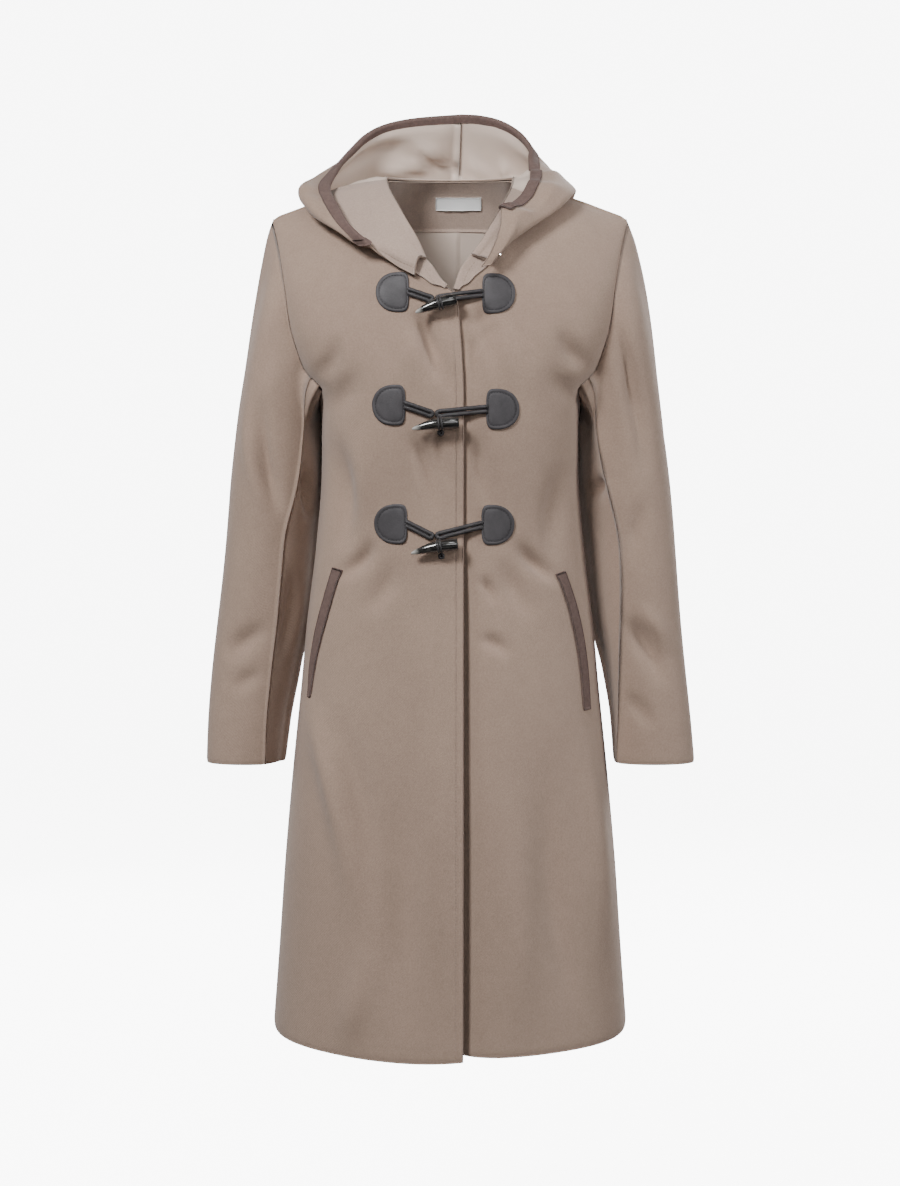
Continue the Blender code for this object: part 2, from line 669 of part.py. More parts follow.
def sleeve_point(side, along, turn, start_turn, ring):
    """along is 0 at the armhole, 1 at the first ring, and one more for each ring after it.

    A thread of the cloth leaves the armhole at `start_turn` and lies at `turn` here.
    """
    if along >= 1:
        return sleeve_section(side, along - 1, turn)
    sign = -1 if side == "right" else 1
    start = armhole_at(ring, start_turn)
    end = sleeve_section(side, 0, turn)
    below = sleeve_section(side, 0.4, turn)
    down = (below - end) / np.linalg.norm(below - end)
    span = np.linalg.norm(end - start)
    angle = math.radians(start_turn)
    out, more_out, forward, fall = CAP_FALL
    outward = np.array([sign * (out + more_out * math.sin(angle) ** 2), -forward * math.sin(angle), -fall])
    outward /= np.linalg.norm(outward)
    first = start + outward * span * 0.34
    second = end - down * span * 0.34
    t = along
    return start * (1 - t) ** 3 + first * 3 * t * (1 - t) ** 2 + second * 3 * t * t * (1 - t) + end * t**3


def seam_turns(side, piece, along, starts):
    """Turns of the two seams of a sleeve piece at a place along it; they start at `starts`."""
    front = [90.0 + value for value in FRONT_SEAM_TURN[side]]
    back = [270.0 + value for value in BACK_SEAM_TURN]
    if piece == "upper":
        rings = [value - 360.0 for value in back], front
    else:
        rings = front, back
    order = np.arange(len(front) + 1)
    return [float(smooth(order, [start, *turns], along)) for start, turns in zip(starts, rings)]


def sleeve_turns(ring, piece):
    """Turns at the armhole of a piece's threads, from seam to seam."""
    by_turn = sorted(entry[0] for entry in ring)
    under_arm = len(ARM_ROWS) - 1
    front = by_turn[under_arm - FRONT_SEAM_ROW]
    back = by_turn[under_arm + BACK_SEAM_ROW]
    if piece == "under":
        return [turn for turn in by_turn if front <= turn <= back]
    return [turn - 360.0 for turn in by_turn if turn >= back] + [turn for turn in by_turn if turn <= front]


def sleeve_surface(side, piece):
    """Points and outward normals of one sleeve piece. The first row takes the body's normals on top."""
    sign = -1 if side == "right" else 1
    ring = armhole_ring(side)
    starts = np.array(sleeve_turns(ring, piece))
    even = np.linspace(0, 1, len(starts))
    share_at_start = (starts - starts[0]) / (starts[-1] - starts[0])
    nudge, nudge_turn = 0.02, 1.0

    def place(along, share, first_share):
        first, last = seam_turns(side, piece, along, (starts[0], starts[-1]))
        start_turn = starts[0] + (starts[-1] - starts[0]) * first_share
        return sleeve_point(side, along, first + (last - first) * share, start_turn, ring)

    points, normals = [], []
    for along in SLEEVE_PLACES:
        mix = float(ease(along / 2.0))
        row, row_normals = [], []
        for at_start, at_cuff, start in zip(share_at_start, even, starts):
            share = at_start + (at_cuff - at_start) * mix
            here = place(along, share, at_start)
            above = place(max(along - nudge, 0.0), share, at_start)
            below = place(min(along + nudge, 7.0), share, at_start)
            step = nudge_turn / (starts[-1] - starts[0])
            before = place(along, share - step, at_start - step)
            after = place(along, share + step, at_start + step)
            normal = np.cross(below - above, after - before) * -sign
            normal /= np.linalg.norm(normal)
            if along == 0:
                on_top = float(ease((118 - abs((start + 180) % 360 - 180)) / 40.0))
                face = -1 if here[1] < 0 else 1
                normal = normal * (1 - on_top) + body_normal(here, face) * on_top
                normal /= np.linalg.norm(normal)
            row.append(here)
            row_normals.append(normal)
        points.append(row)
        normals.append(row_normals)
    return np.array(points), np.array(normals)


# ---------------------------------------------------------------- hood

def neckline_point(side, place):
    """place 0 is the lapel notch, 1 the neck point at the shoulder seam and 2 the centre back."""
    sign = -1 if side == "right" else 1
    if place <= 1:
        bottom = NECK_HEIGHT[0] if side == "right" else UNDER_NECK_BOTTOM
        share = math.sin(math.pi / 2 * place) ** 1.2
        height = bottom + (NECK_HEIGHT[-1] - bottom) * share
        x = neck_x(side, height) * MM
        return np.array([sign * x, float(body_y(x, height * MM, -1)), height * MM])
    x = NECK_POINT_X * math.cos(math.pi / 2 * (place - 1))
    z = top_height(x)
    return np.array([sign * x, float(body_y(x, z, 1)), z])


def hood_profile(side, station, count):
    """The outer face of the hood at one station, from the neck seam by the fold to the face edge."""
    sign = -1 if side == "right" else 1
    rows = np.array(HOOD[side], float)
    order = np.arange(len(rows))
    row = {name: float(smooth(order, rows[:, k], station)) for k, name in enumerate(HOOD_COLUMNS)}
    neck = clear_of_body(neckline_point(side, row["neck"]), HOOD_NECK_CLEAR)
    plies = HOOD_PLIES * float(ease((row["fold_x"] - row["face_x"]) / 8.0))
    fold = np.array([sign * row["fold_x"], row["fold_y"], row["fold_z"]]) * MM
    fold = clear_of_body(fold, HOOD_CLEAR + plies / 2)
    face = np.array([sign * row["face_x"], row["face_y"], row["face_z"]]) * MM
    face = clear_of_body(face, HOOD_CLEAR + plies)
    lower_a = clear_of_body(neck * 0.68 + fold * 0.32, HOOD_CLEAR)
    lower_b = clear_of_body(neck * 0.30 + fold * 0.70, HOOD_CLEAR)
    middle = (fold + face) / 2
    across = (face - fold) / np.linalg.norm(face - fold)
    outward = middle - neck
    outward -= across * np.dot(outward, across)
    outward /= np.linalg.norm(outward)
    rise = middle + outward * row["swell"] * MM
    return resample([neck, lower_a, lower_b, fold, rise, face], count, BINDING_WIDTH)


def hood_grid(side):
    return relaxed(np.array([hood_profile(side, station, HOOD_COUNT) for station in HOOD_STATIONS]))


def relaxed(grid):
    """Eases the folds of the hood, as thick cloth does, and keeps its seams, its face edge and its room."""
    grid = grid.copy()
    for _ in range(HOOD_RELAX_ROUNDS):
        along = (grid[:, :-4] + grid[:, 2:-2]) / 2
        eased = grid.copy()
        eased[:, 1:-3] = grid[:, 1:-3] * 0.5 + along * 0.5
        between = (eased[:-2, 1:-3] + eased[2:, 1:-3]) / 2
        grid = eased
        grid[1:-1, 1:-3] = eased[1:-1, 1:-3] * 0.7 + between * 0.3
    for row in grid:
        for column in range(1, len(row) - 2):
            row[column] = clear_of_body(row[column], HOOD_CLEAR)
    return grid


def hood_surface(side):
    """Points and outward normals of one half of the hood; at the centre seam they lie in its plane."""
    grid = hood_grid(side)
    outward = grid - np.array([0.0, 40 * MM, 60 * MM])
    normals = grid_normals(grid, outward)
    normals[-1, :, 0] = 0.0
    normals[-1] /= np.linalg.norm(normals[-1], axis=1, keepdims=True)
    return grid, normals


# ---------------------------------------------------------------- pieces wrapped round an edge

def wrapped_edge(name, places, thick, gap, stack, look):
    """Cloth folded round the edge of other cloth.

    Each place is (surface, outer, inner): surface(distance, offset) gives a point that far from the edge and
    that far outside the outer face; outer and inner are the widths of the two legs.
    """
    near, far = [], []
    for surface, outer, inner in places:
        below = -stack - gap
        near.append([
            surface(outer, gap), surface(outer / 2, gap), surface(-gap, gap),
            surface(-gap, below), surface(inner / 2, below), surface(inner, below),
        ])
        far.append([
            surface(outer, gap + thick), surface(outer / 2, gap + thick), surface(-gap - thick, gap + thick),
            surface(-gap - thick, below - thick), surface(inner / 2, below - thick),
            surface(inner, below - thick),
        ])
    points, faces = closed_wall(np.array(near), np.array(far))
    return add_object(name, points, faces, look)


def profile_surface(profile, normals):
    """surface(distance, offset) for the face edge at the end of one hood profile."""
    back = profile[::-1]
    along = np.concatenate([[0], np.cumsum(np.linalg.norm(np.diff(back, axis=0), axis=1))])
    turned = normals[::-1]
    beyond = (back[0] - back[1]) / np.linalg.norm(back[0] - back[1])

    def surface(distance, offset):
        if distance < 0:
            return back[0] - beyond * distance + turned[0] * offset
        point = np.array([np.interp(distance, along, back[:, k]) for k in range(3)])
        normal = np.array([np.interp(distance, along, turned[:, k]) for k in range(3)])
        return point + normal / np.linalg.norm(normal) * offset

    return surface


def lapel_surface(side, height):
    """surface(distance, offset) for the roll line of a front at a height."""
    sign = -1 if side == "right" else 1
    z = height * MM
    x = edge_point(side, height) * MM
    ahead = np.array([edge_point(side, height + 1) - edge_point(side, height - 1), 2.0])
    ahead /= np.linalg.norm(ahead)
    across = np.array([ahead[1], -ahead[0]]) * sign

    def surface(distance, offset):
        at_x, at_z = x + across[0] * distance, z + across[1] * distance
        tuck = 0.0 if side == "right" else tuck_depth(at_x, at_z)
        return panel_point(at_x, at_z, -1, tuck) + body_normal((at_x, 0, at_z), -1) * offset

    return surface


# ---------------------------------------------------------------- build

def clear_scene():
    for old in list(bpy.data.objects):
        bpy.data.objects.remove(old, do_unlink=True)


def build_body():
    half_gap = GAP / 2
    for side in ("right", "left"):
        grid = front_grid(side)
        normals = body_normals(grid, -1)
        wall(f"front_{side}", trimmed(grid, last=half_gap, end=half_gap), normals, -WOOL, 0.0, "wool")
    grid = back_grid()
    normals = body_normals(grid, 1)
    centre = grid.shape[1] // 2
    for side, columns in (("right", slice(0, centre + 1)), ("left", slice(centre, None))):
        panel = trimmed(grid[:, columns], last=half_gap, start=half_gap, end=half_gap)
        wall(f"back_{side}", panel, normals[:, columns], -WOOL, 0.0, "wool")


def build_neck():
    """Wool facing and satin lining inside the back, from the back's own points, and the blank label."""
    grid = back_grid()
    normals = body_normals(grid, 1)
    shares = np.array(back_column_shares())
    outer = -WOOL - GAP
    columns = np.flatnonzero(np.abs(shares) < 0.62)
    rows = slice(len(grid) - 3, len(grid))
    facing = trimmed(grid[rows][:, columns], first=GAP / 2, last=GAP)
    wall("neck_facing", facing, normals[rows][:, columns], outer - LINING, outer, "wool_inside")
    columns = np.flatnonzero(np.abs(shares) < 0.93)
    rows = slice(len(grid) - len(ARM_ROWS) - 1, len(grid) - 2)
    lining = trimmed(grid[rows][:, columns], last=GAP / 2)
    wall("lining_back", lining, normals[rows][:, columns], outer - LINING, outer, "satin")
    label = np.array([
        [panel_point(x * MM, z * MM, 1) for x in np.linspace(*LABEL_X, 6)] for z in np.linspace(*LABEL_Z, 3)
    ])
    under = outer - LINING - LABEL_GAP
    wall("label", label, body_normals(label, 1), under - LABEL_THICK, under, "label_cloth")


def build_lapels():
    for side in ("right", "left"):
        low, high = LAPEL_RANGE[side]
        places = []
        for share in np.linspace(0, 1, 7):
            width = float(smooth(LAPEL_SHARE, LAPEL_WIDTH[side], share)) * MM
            surface = lapel_surface(side, low + (high - low) * share)
            places.append((surface, width, LAPEL_INSIDE * MM))
        wrapped_edge(f"front_facing_{side}", places, LAPEL_THICK, LAPEL_GAP, WOOL, "wool_inside")


def build_sleeves():
    for side in ("right", "left"):
        for piece in ("upper", "under"):
            grid, normals = sleeve_surface(side, piece)
            grid = trimmed(grid, first=GAP, start=GAP / 2, end=GAP / 2)
            wall(f"sleeve_{side}_{piece}", grid, normals, -WOOL, 0.0, "wool")


def build_hood():
    """Wool outside, wool facing and satin lining inside, and the binding round the face edge."""
    outer = -WOOL - GAP - HOOD_EXTRA_GAP
    stations = np.array(HOOD_STATIONS)
    edge_places = []
    for side in ("right", "left"):
        grid, normals = hood_surface(side)
        wall(f"hood_{side}", trimmed(grid, last=GAP), normals, -WOOL, 0.0, "wool")
        front = np.flatnonzero(stations <= FACING_STATION[side])
        rear = np.flatnonzero(stations >= FACING_STATION[side])
        facing = trimmed(grid[front], last=GAP)
        wall(f"hood_facing_{side}", facing, normals[front], outer - LINING, outer, "wool_inside")
        lining = trimmed(grid[rear], first=FACING_GAP, last=GAP)
        wall(f"hood_lining_{side}", lining, normals[rear], outer - LINING, outer, "satin")
        places = []
        for index in np.flatnonzero(stations >= BINDING_STATION[side]):
            places.append((profile_surface(grid[index], normals[index]), BINDING_WIDTH, BINDING_INSIDE))
        edge_places += places if side == "right" else places[-2::-1]
    stack = LINING - outer
    wrapped_edge("hood_binding", edge_places, BINDING, BINDING_GAP, stack, "suede_trim")


def build_welts():
    for side, line in WELTS.items():
        line = np.array(line, float) * MM
        along = np.gradient(line, axis=0)
        along /= np.linalg.norm(along, axis=1, keepdims=True)
        across = np.stack([-along[:, 1], along[:, 0]], axis=1)
        grid = np.array([
            [panel_point(*(point + way * WELT_WIDTH * share), -1) for share in (-0.5, 0, 0.5)]
            for point, way in zip(line, across)
        ])
        wall(f"pocket_welt_{side}", grid, body_normals(grid, -1), GAP, GAP + WELT_THICK, "suede_trim")


def patch_grid(side, centre_x, centre_z):
    """A patch with its straight side towards the front edge and round corners on the other."""
    sign = -1 if side == "right" else 1
    straight = centre_x - sign * PATCH_WIDTH / 2
    rows = []
    for b in np.linspace(-1, 1, 9):
        width = PATCH_WIDTH * (0.45 + 0.55 * (1 - abs(b) ** 2.6) ** (1 / 2.6))
        z = centre_z + b * PATCH_HEIGHT / 2
        row = []
        for a in np.linspace(0, 1, 4):
            x = straight + sign * width * a
            row.append(panel_point(x, z, -1, 0.0 if side == "right" else tuck_depth(x, z)))
        rows.append(row)
    return np.array(rows)


def cord_path(side, start_x, start_z, end_x, end_z):
    """Out along one strand, round under the toggle and back along the other, lying on the fronts."""
    sign = 1 if side == "right" else -1
    half = CORD_SPACING / 2
    flat = []
    for share in np.linspace(0, 1, 6):
        flat.append((start_x + (end_x - start_x) * share, start_z + (end_z - start_z) * share + half))
    turn = []
    for angle in np.linspace(0, math.pi, 6):
        turn.append((end_x + sign * half * math.sin(angle), end_z + half * math.cos(angle)))
    back = [(x, z - CORD_SPACING) for x, z in reversed(flat)]
    points = []
    for x, z in flat[:-1] + turn + back[1:]:
        points.append(panel_point(x, z, -1) + body_normal((x, 0, z), -1) * cord_height(side, x, z))
    return points


def cord_height(side, x, z):
    """Height of a cord's middle over the plain body: on the left it climbs onto the other front."""
    height = CORD_RADIUS + CORD_LIFT
    if side == "left":
        height -= tuck_depth(x, z) * float(ease((x - 21 * MM) / (13 * MM)))
    return height


def build_fastenings():
    for number, values in enumerate(FASTENINGS, start=1):
        row = {name: value * MM for name, value in zip(FASTENING_COLUMNS, values)}
        for side in ("right", "left"):
            sign = -1 if side == "right" else 1
            centre_x, centre_z = row[f"{side}_x"], row[f"{side}_z"]
            grid = patch_grid(side, centre_x, centre_z)
            normals = body_normals(grid, -1)
            name = f"toggle_patch_{side}_{number}"
            wall(name, grid, normals, PATCH_GAP, PATCH_GAP + LEATHER, "leather")
            start_x = centre_x - sign * (PATCH_WIDTH / 2 + PATCH_GAP)
            end_x = CORD_END_RIGHT if side == "right" else CORD_END_LEFT
            end_z = row["cord_z"]
            path = cord_path(side, start_x, centre_z, end_x, end_z)
            tube(f"toggle_cord_{side}_{number}", path, CORD_RADIUS, "leather_cord", sides=6)
        build_toggle(number, row)
    for number, (x, z) in KNOTS.items():
        build_knot(number, x * MM, z * MM)


def build_toggle(number, row):
    height = 2 * CORD_RADIUS + CORD_LIFT + GAP
    count = len(TOGGLE_SHAPE)
    path = []
    for share in np.linspace(0, 1, count):
        x = row["wide_x"] + (row["tip_x"] - row["wide_x"]) * share
        z = row["wide_z"] + (row["tip_z"] - row["wide_z"]) * share + TOGGLE_BOW * math.sin(math.pi * share)
        path.append(panel_point(x, z, -1) + body_normal((x, 0, z), -1) * (height + TOGGLE_RADIUS * 1.04))
    radii = np.array(TOGGLE_SHAPE) * TOGGLE_RADIUS
    tube(f"toggle_{number}", path, radii, "horn", sides=12)


def build_knot(number, x, z):
    centre = panel_point(x, z, -1) + body_normal((x, 0, z), -1) * (KNOT_RADIUS + 2 * GAP)
    mesh = bpy.data.meshes.new(f"toggle_knot_{number}")
    ball = bmesh.new()
    bmesh.ops.create_uvsphere(ball, u_segments=8, v_segments=6, radius=KNOT_RADIUS)
    ball.to_mesh(mesh)
    ball.free()
    mesh.shade_smooth()
    knot = bpy.data.objects.new(f"toggle_knot_{number}", mesh)
    knot.location = centre
    mesh.materials.append(material("leather_cord"))
    bpy.context.scene.collection.objects.link(knot)


def build_stud():
    """A small metal stud on the outside of the hood's left front."""
    grid, normals = hood_surface("left")
    distance = np.hypot(grid[..., 0] - STUD_PLACE[0], grid[..., 2] - STUD_PLACE[1])
    distance = np.where(normals[..., 1] < -0.3, distance, 1.0)
    row, col = np.unravel_index(np.argmin(distance), distance.shape)
    normal = normals[row, col]
    start = grid[row, col] + normal * 2 * GAP
    side = np.cross(normal, (0.0, 0.0, 1.0))
    side /= np.linalg.norm(side)
    up = np.cross(side, normal)
    frames = [
        (start + normal * lift * MM, side * STUD_RADIUS * width, up * STUD_RADIUS * width)
        for lift, width in ((0.0, 1.0), (0.9, 1.0), (1.4, 0.6))
    ]
    ring = [(math.cos(math.pi * k / 6), math.sin(math.pi * k / 6)) for k in range(12)]
    swept_section("neck_stud", frames, ring, "stud_metal")


def main():
    clear_scene()
    build_body()
    build_neck()
    build_lapels()
    build_sleeves()
    build_hood()
    build_welts()
    build_fastenings()
    build_stud()


main()
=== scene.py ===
"""Duffle coat, dressed.

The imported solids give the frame, and each cloth piece is a finer shell on its solid's form.

Metres, +Z up, the front looks along -Y and the wearer's right is at -X. Tables are in millimetres.
"""

import math

import bmesh
import bpy
import numpy as np
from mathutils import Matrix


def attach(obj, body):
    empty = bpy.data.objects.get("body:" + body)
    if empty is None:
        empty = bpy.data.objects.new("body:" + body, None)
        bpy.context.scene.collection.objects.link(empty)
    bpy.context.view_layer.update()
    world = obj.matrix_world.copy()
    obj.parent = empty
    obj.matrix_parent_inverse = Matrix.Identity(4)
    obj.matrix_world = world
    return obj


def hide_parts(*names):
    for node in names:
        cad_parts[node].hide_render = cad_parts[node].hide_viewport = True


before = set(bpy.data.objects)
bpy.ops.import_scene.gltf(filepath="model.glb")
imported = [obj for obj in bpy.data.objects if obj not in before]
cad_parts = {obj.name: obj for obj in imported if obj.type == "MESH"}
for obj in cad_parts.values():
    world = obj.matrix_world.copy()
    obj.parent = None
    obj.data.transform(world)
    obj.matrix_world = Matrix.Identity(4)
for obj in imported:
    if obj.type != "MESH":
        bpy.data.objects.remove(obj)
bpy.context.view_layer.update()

MM = 0.001
SIGN = {"right": -1, "left": 1}  # of x on the wearer's side

# Cloth and gaps
WOOL = 2.0 * MM
LINING = 1.0 * MM
GAP = 0.35 * MM  # between pieces that are sewn together or lie on each other
LEATHER = 1.6 * MM

# Body: how far the cloth stands out at each height, and how square the section is there
BODY_HEIGHT = (
    -980, -847, -754, -647, -550, -490, -394, -310, -260,
    -230, -215, -205, -195, -172, -150, -100, -50, 10,
)
BODY_HALF_WIDTH = (
    208, 198, 191.5, 182, 172, 166.5, 155, 148.5, 148,
    150, 155, 162, 170, 181, 188, 198, 204, 207,
)
BODY_SQUARENESS = (
    2.1, 2.15, 2.2, 2.2, 2.2, 2.2, 2.25, 2.4, 2.6,
    2.7, 2.8, 2.9, 3.0, 3.1, 3.2, 3.2, 3.0, 2.6,
)
# Height of the shoulder line across the body, and the depth of front and back below that line
SHOULDER_X = (0, 20, 40, 57, 72, 110, 152, 176, 206)
SHOULDER_HEIGHT = (60, 57.5, 50, 39, 26, 16, 3, -6, -17)
DROP = (-40, 0, 8, 20, 42, 61, 98, 130, 190, 252, 300, 420, 500, 600, 800, 1030)
FRONT_DEPTH = (-60, 0, 18, 36, 59, 73, 96, 107, 117, 123, 121, 108, 112, 123, 138, 151)
BACK_DEPTH = (-60, 0, 20, 42, 66, 76, 90, 99, 108, 111, 107, 86, 97, 118, 137, 150)

# Armhole seams: half width at each height; both reach the side seam under the arm
ARM_HEIGHT = (-230, -227, -222, -217, -205, -195, -172, -148, -95, -51, -17)
ARM_FRONT_X = (150, 149, 147, 145, 156, 165, 174, 181, 189, 197, 206)
ARM_BACK_X = (150, 149, 147.5, 147, 155, 162, 171, 177, 185, 195, 206)
ARM_ROWS = (-230, -223, -213, -198, -178, -153, -125, -95, -65, -38, -17)  # where rows of cloth meet it
FRONT_SEAM_ROW = 3  # the sleeve's two seams start at these rows, counted from the underarm
BACK_SEAM_ROW = 4
ARMHOLE_HALF_DEPTH = 66 * MM
LEAST_STEP, MOST_STEP = 0.1 * MM, 2 * MM  # by which a point is moved out of the body at a time
PROBE = 0.5 * MM  # how far apart points are compared to find the body's slope
SEAM_TURN = 9 * MM  # depth of the body within which its normals turn into the seam's plane
UNDERARM = ARM_HEIGHT[0] * MM
SHOULDER_END = ARM_HEIGHT[-1] * MM
SHOULDER_POINT_X = ARM_FRONT_X[-1] * MM
ARMHOLE_MIDDLE = (SHOULDER_END + UNDERARM) / 2
ARMHOLE_HALF_HEIGHT = (SHOULDER_END - UNDERARM) / 2

# Neckline seen from the front: half width at each height, from the lapel notch to the neck point
NECK_HEIGHT = (-74, -55, -33, -12, 8, 20, 26)
NECK_X = (29, 36, 47, 57, 67, 71.5, 72)
NECK_POINT_X = NECK_X[-1] * MM
NECK_POINT_Z = NECK_HEIGHT[-1] * MM
NECK_BACK_HEIGHT = 30 * MM  # at the centre back

# Front edges: x of each edge at each height. The right front lies on top of the left one.
EDGE_HEIGHT = (-980, -230, -150, -112, -104, -95, -84, -74)
TOP_EDGE_X = (14, 14.5, 10.5, 6, -5, -13.5, -20.5, -29)
UNDER_EDGE_HEIGHT = (-980, -170, -135, -118, -109, -98, -86, -70)
UNDER_EDGE_X = (-28, -28, -20, -4, 6, 9.5, 14, 25)
# The left front's neckline starts lower and nearer the middle, and joins the common one here
UNDER_NECK_BOTTOM = -70
UNDER_NECK_X = 25
UNDER_NECK_TOP = -55

# How far the left front lies behind the right one, by height
TUCK_HEIGHT = (-980, -560, -300, -120, -60)
TUCK = (9, 5, 3.2, 3.4, 0)
TUCK_END, TUCK_FADE = 60 * MM, 48 * MM  # x where it ends, and the width over which it grows

HEM_SIDE = -948 * MM
HEM_BACK = -955 * MM
HEM_TOP_FRONT = -966 * MM
HEM_UNDER_FRONT = -957 * MM
HEM_BOW = 9.5 * MM  # how far the front hem hangs below a straight line between its ends

# Sleeves: rings from the underarm to the cuff
SLEEVE_RING = (
    # height, centre x, half width, centre y, half depth
    (-262, 199.5, 49, 8, 60),
    (-330, 205, 51.5, 12, 59),
    (-394, 210.5, 52, 14, 56),
    (-470, 218, 51.5, 12, 52),
    (-540, 225, 50.5, 5, 47),
    (-600, 231, 49, -1, 43),
    (-645, 234.5, 48, -5, 40),
)
SLEEVE_PRESS = (6, 13, 13, 12, 4, 0, 0)  # how far each ring is pressed in where it rests on the body
SLEEVE_LEAN = 1.6 * MM  # how softly it turns away from the body
SLEEVE_REST = 0.8 * MM  # between a sleeve and the body it rests on
SLEEVE_FLAT = 0.74  # how flat the under sleeve is beside the front seam: 0 is round
SLEEVE_FLAT_END = 215.0  # turn where it is round again
SLEEVE_FLAT_FADE = 0.35  # share of the flat that turns round
CAP_FALL = (0.25, 0.45, 0.25, 0.88)  # way the cloth leaves the armhole: out, more out, forward and down
CAP_BEND = 0.34  # share of the way to the first ring over which it bends at each end
# Seam between upper and under sleeve: turn from straight ahead towards the body, for each ring
FRONT_SEAM_TURN = {"right": (36, 27, 18, 19, 21, 24, 27), "left": (36, 22, 14, 20, 34, 50, 62)}
BACK_SEAM_TURN = (-38, -36, -35, -34, -34, -34, -34)

# Hood: for each station from the front corner round to the centre back, the place on the neckline,
# the fold and the face edge, and how far the cloth between the last two swells outwards
HOOD_COLUMNS = ("neck", "fold_x", "fold_y", "fold_z", "face_x", "face_y", "face_z", "swell")
HOOD = {
    "right": (
        (0.00, 34, -115, -72, 39, -114.5, -91, 2),
        (0.10, 50, -111, -66, 52, -112, -84, 3),
        (0.20, 66, -106, -58, 67, -107, -75, 3),
        (0.30, 84, -98, -52, 81, -107, -67, 4),
        (0.42, 112, -81, -46, 94, -114, -55, 8),
        (0.54, 134, -62, -33, 113, -101, -37, 8),
        (0.66, 158, -38, -19, 131, -69, -7, 9),
        (0.78, 182, -2, -1, 140, -31, 16, 12),
        (0.90, 181, 40, -6, 133, 14, 41, 6),
        (1.10, 161, 80, -36, 115, 50, 69, 11),
        (1.35, 132, 112, -80, 93, 71, 91, 21),
        (1.65, 84, 141, -135, 56, 89, 105.5, 26),
        (2.00, 6, 154, -168, -13, 100, 113, 28),
    ),
    "left": (
        (0.00, 47, -110, -79, 34, -118, -85, 3),
        (0.10, 61, -105, -62, 43, -117, -71, 5),
        (0.20, 71, -101, -54, 50, -110, -52, 7),
        (0.30, 85, -94, -48, 54, -100, -34, 8),
        (0.42, 103, -82, -35, 58, -90, -14, 11),
        (0.54, 120, -66, -24, 68, -80, -12, 12),
        (0.66, 137, -44, -11, 80, -62, -5, 15),
        (0.78, 151, -12, 4, 91, -28, 11, 18),
        (0.90, 154, 36, 5, 95, 10, 38, 17),
        (1.10, 147, 78, -27, 96, 50, 69, 19),
        (1.35, 128, 112, -76, 77, 75, 94, 22),
        (1.65, 84, 141, -135, 44, 92, 110, 26),
        (2.00, -6, 154, -168, 13, 100, 113, 28),
    ),
}
HOOD_CLEAR = 4.5 * MM  # lowest ply above the shoulders
HOOD_NECK_CLEAR = 1.8 * MM
HOOD_EXTRA_GAP = 0.25 * MM  # more room for the lining in the folds
HOOD_PLIES = 15.0 * MM  # room for the lower ply where the face edge lies over it
HOOD_STATIONS = (*np.arange(0, 6, 0.75), *(np.arange(18, 27) / 3), *np.arange(9, 12.1, 0.75))
HOOD_COUNT = 12  # points across the cloth at each station
HOOD_RELAX_ROUNDS = 3
FACING_STATION = {"right": 22 / 3, "left": 6.0}  # the wool facing inside the hood ends here; then satin
BINDING_STATION = {"right": 3.75, "left": 3.75}  # the binding starts here
BINDING_WIDTH = 10.0 * MM  # of the leg on the outside
BINDING_INSIDE = 6.0 * MM
BINDING = 0.9 * MM
BINDING_GAP = 0.8 * MM
BINDING_END_AT, BINDING_END_HALF = 0.28, 0.32  # stations from the binding's start to its folded end's middle
BINDING_OVER = 1.2 * MM  # how far a folded end reaches past the binding under it

# Fastenings, top to bottom: patch centres, height of the cords under the toggle, and toggle ends
FASTENING_COLUMNS = (
    "right_x", "right_z", "left_x", "left_z", "cord_z", "wide_x", "wide_z", "tip_x", "tip_z",
)
FASTENINGS = (
    (-64, -110, 54, -111.5, -118, 6, -121, -36, -135),
    (-68, -235.5, 58.5, -240, -245, 9.5, -254, -40, -261),
    (-66, -368, 53.5, -369, -381, 8, -391, -40, -401),
)
PATCH_WIDTH = 37 * MM
PATCH_HEIGHT = 45 * MM
PATCH_GAP = 0.9 * MM
PATCH_BEND = 0.5 * MM  # how far a patch's rim bends up and down
CORD_CLEAR = 0.2 * MM  # between a patch and its cord
CORD_RADIUS = 2.3 * MM
CORD_SPACING = 5.2 * MM  # between the two strands of a cord
CORD_LIFT = 0.7 * MM
CORD_CLIMB_END, CORD_CLIMB = 21 * MM, 13 * MM  # x where a cord is up on the right front, and its climb's width
CORD_END_RIGHT = -22 * MM
CORD_END_LEFT = -12 * MM
TOGGLE_RADIUS = 6.6 * MM
TOGGLE_BOW = 2.0 * MM
TOGGLE_WAIST = 0.42  # share of its length where the cords are lashed to it
LASHING_APART, LASHING_OUT, LASHING_RADIUS = 1.65 * MM, 0.5 * MM, 1.1 * MM
KNOT_RADIUS = 3.8 * MM
KNOT_CORD = 1.35 * MM
KNOTS = {2: (-10.5, -266), 3: (-9.5, -404)}

# Neck: the label and the turned-out lapels
LABEL_X = (-17, 38)
LABEL_Z = (15.5, 1)
LABEL_THICK = 0.6 * MM
LABEL_GAP = 1.6 * MM
LABEL_CURL, LABEL_WAVE = 0.9 * MM, 0.25 * MM
LAPEL_SHARE = (0.0, 0.35, 0.7, 1.0)  # along the lapel from the front edge up to the notch
LAPEL_RANGE = {"right": (-101, -75), "left": (-103, -71)}
LAPEL_WIDTH = {"right": (6, 11, 15, 17), "left": (8, 13, 16, 19)}
LAPEL_INSIDE = 22
LAPEL_THICK = 1.4 * MM
LAPEL_GAP = 0.8 * MM

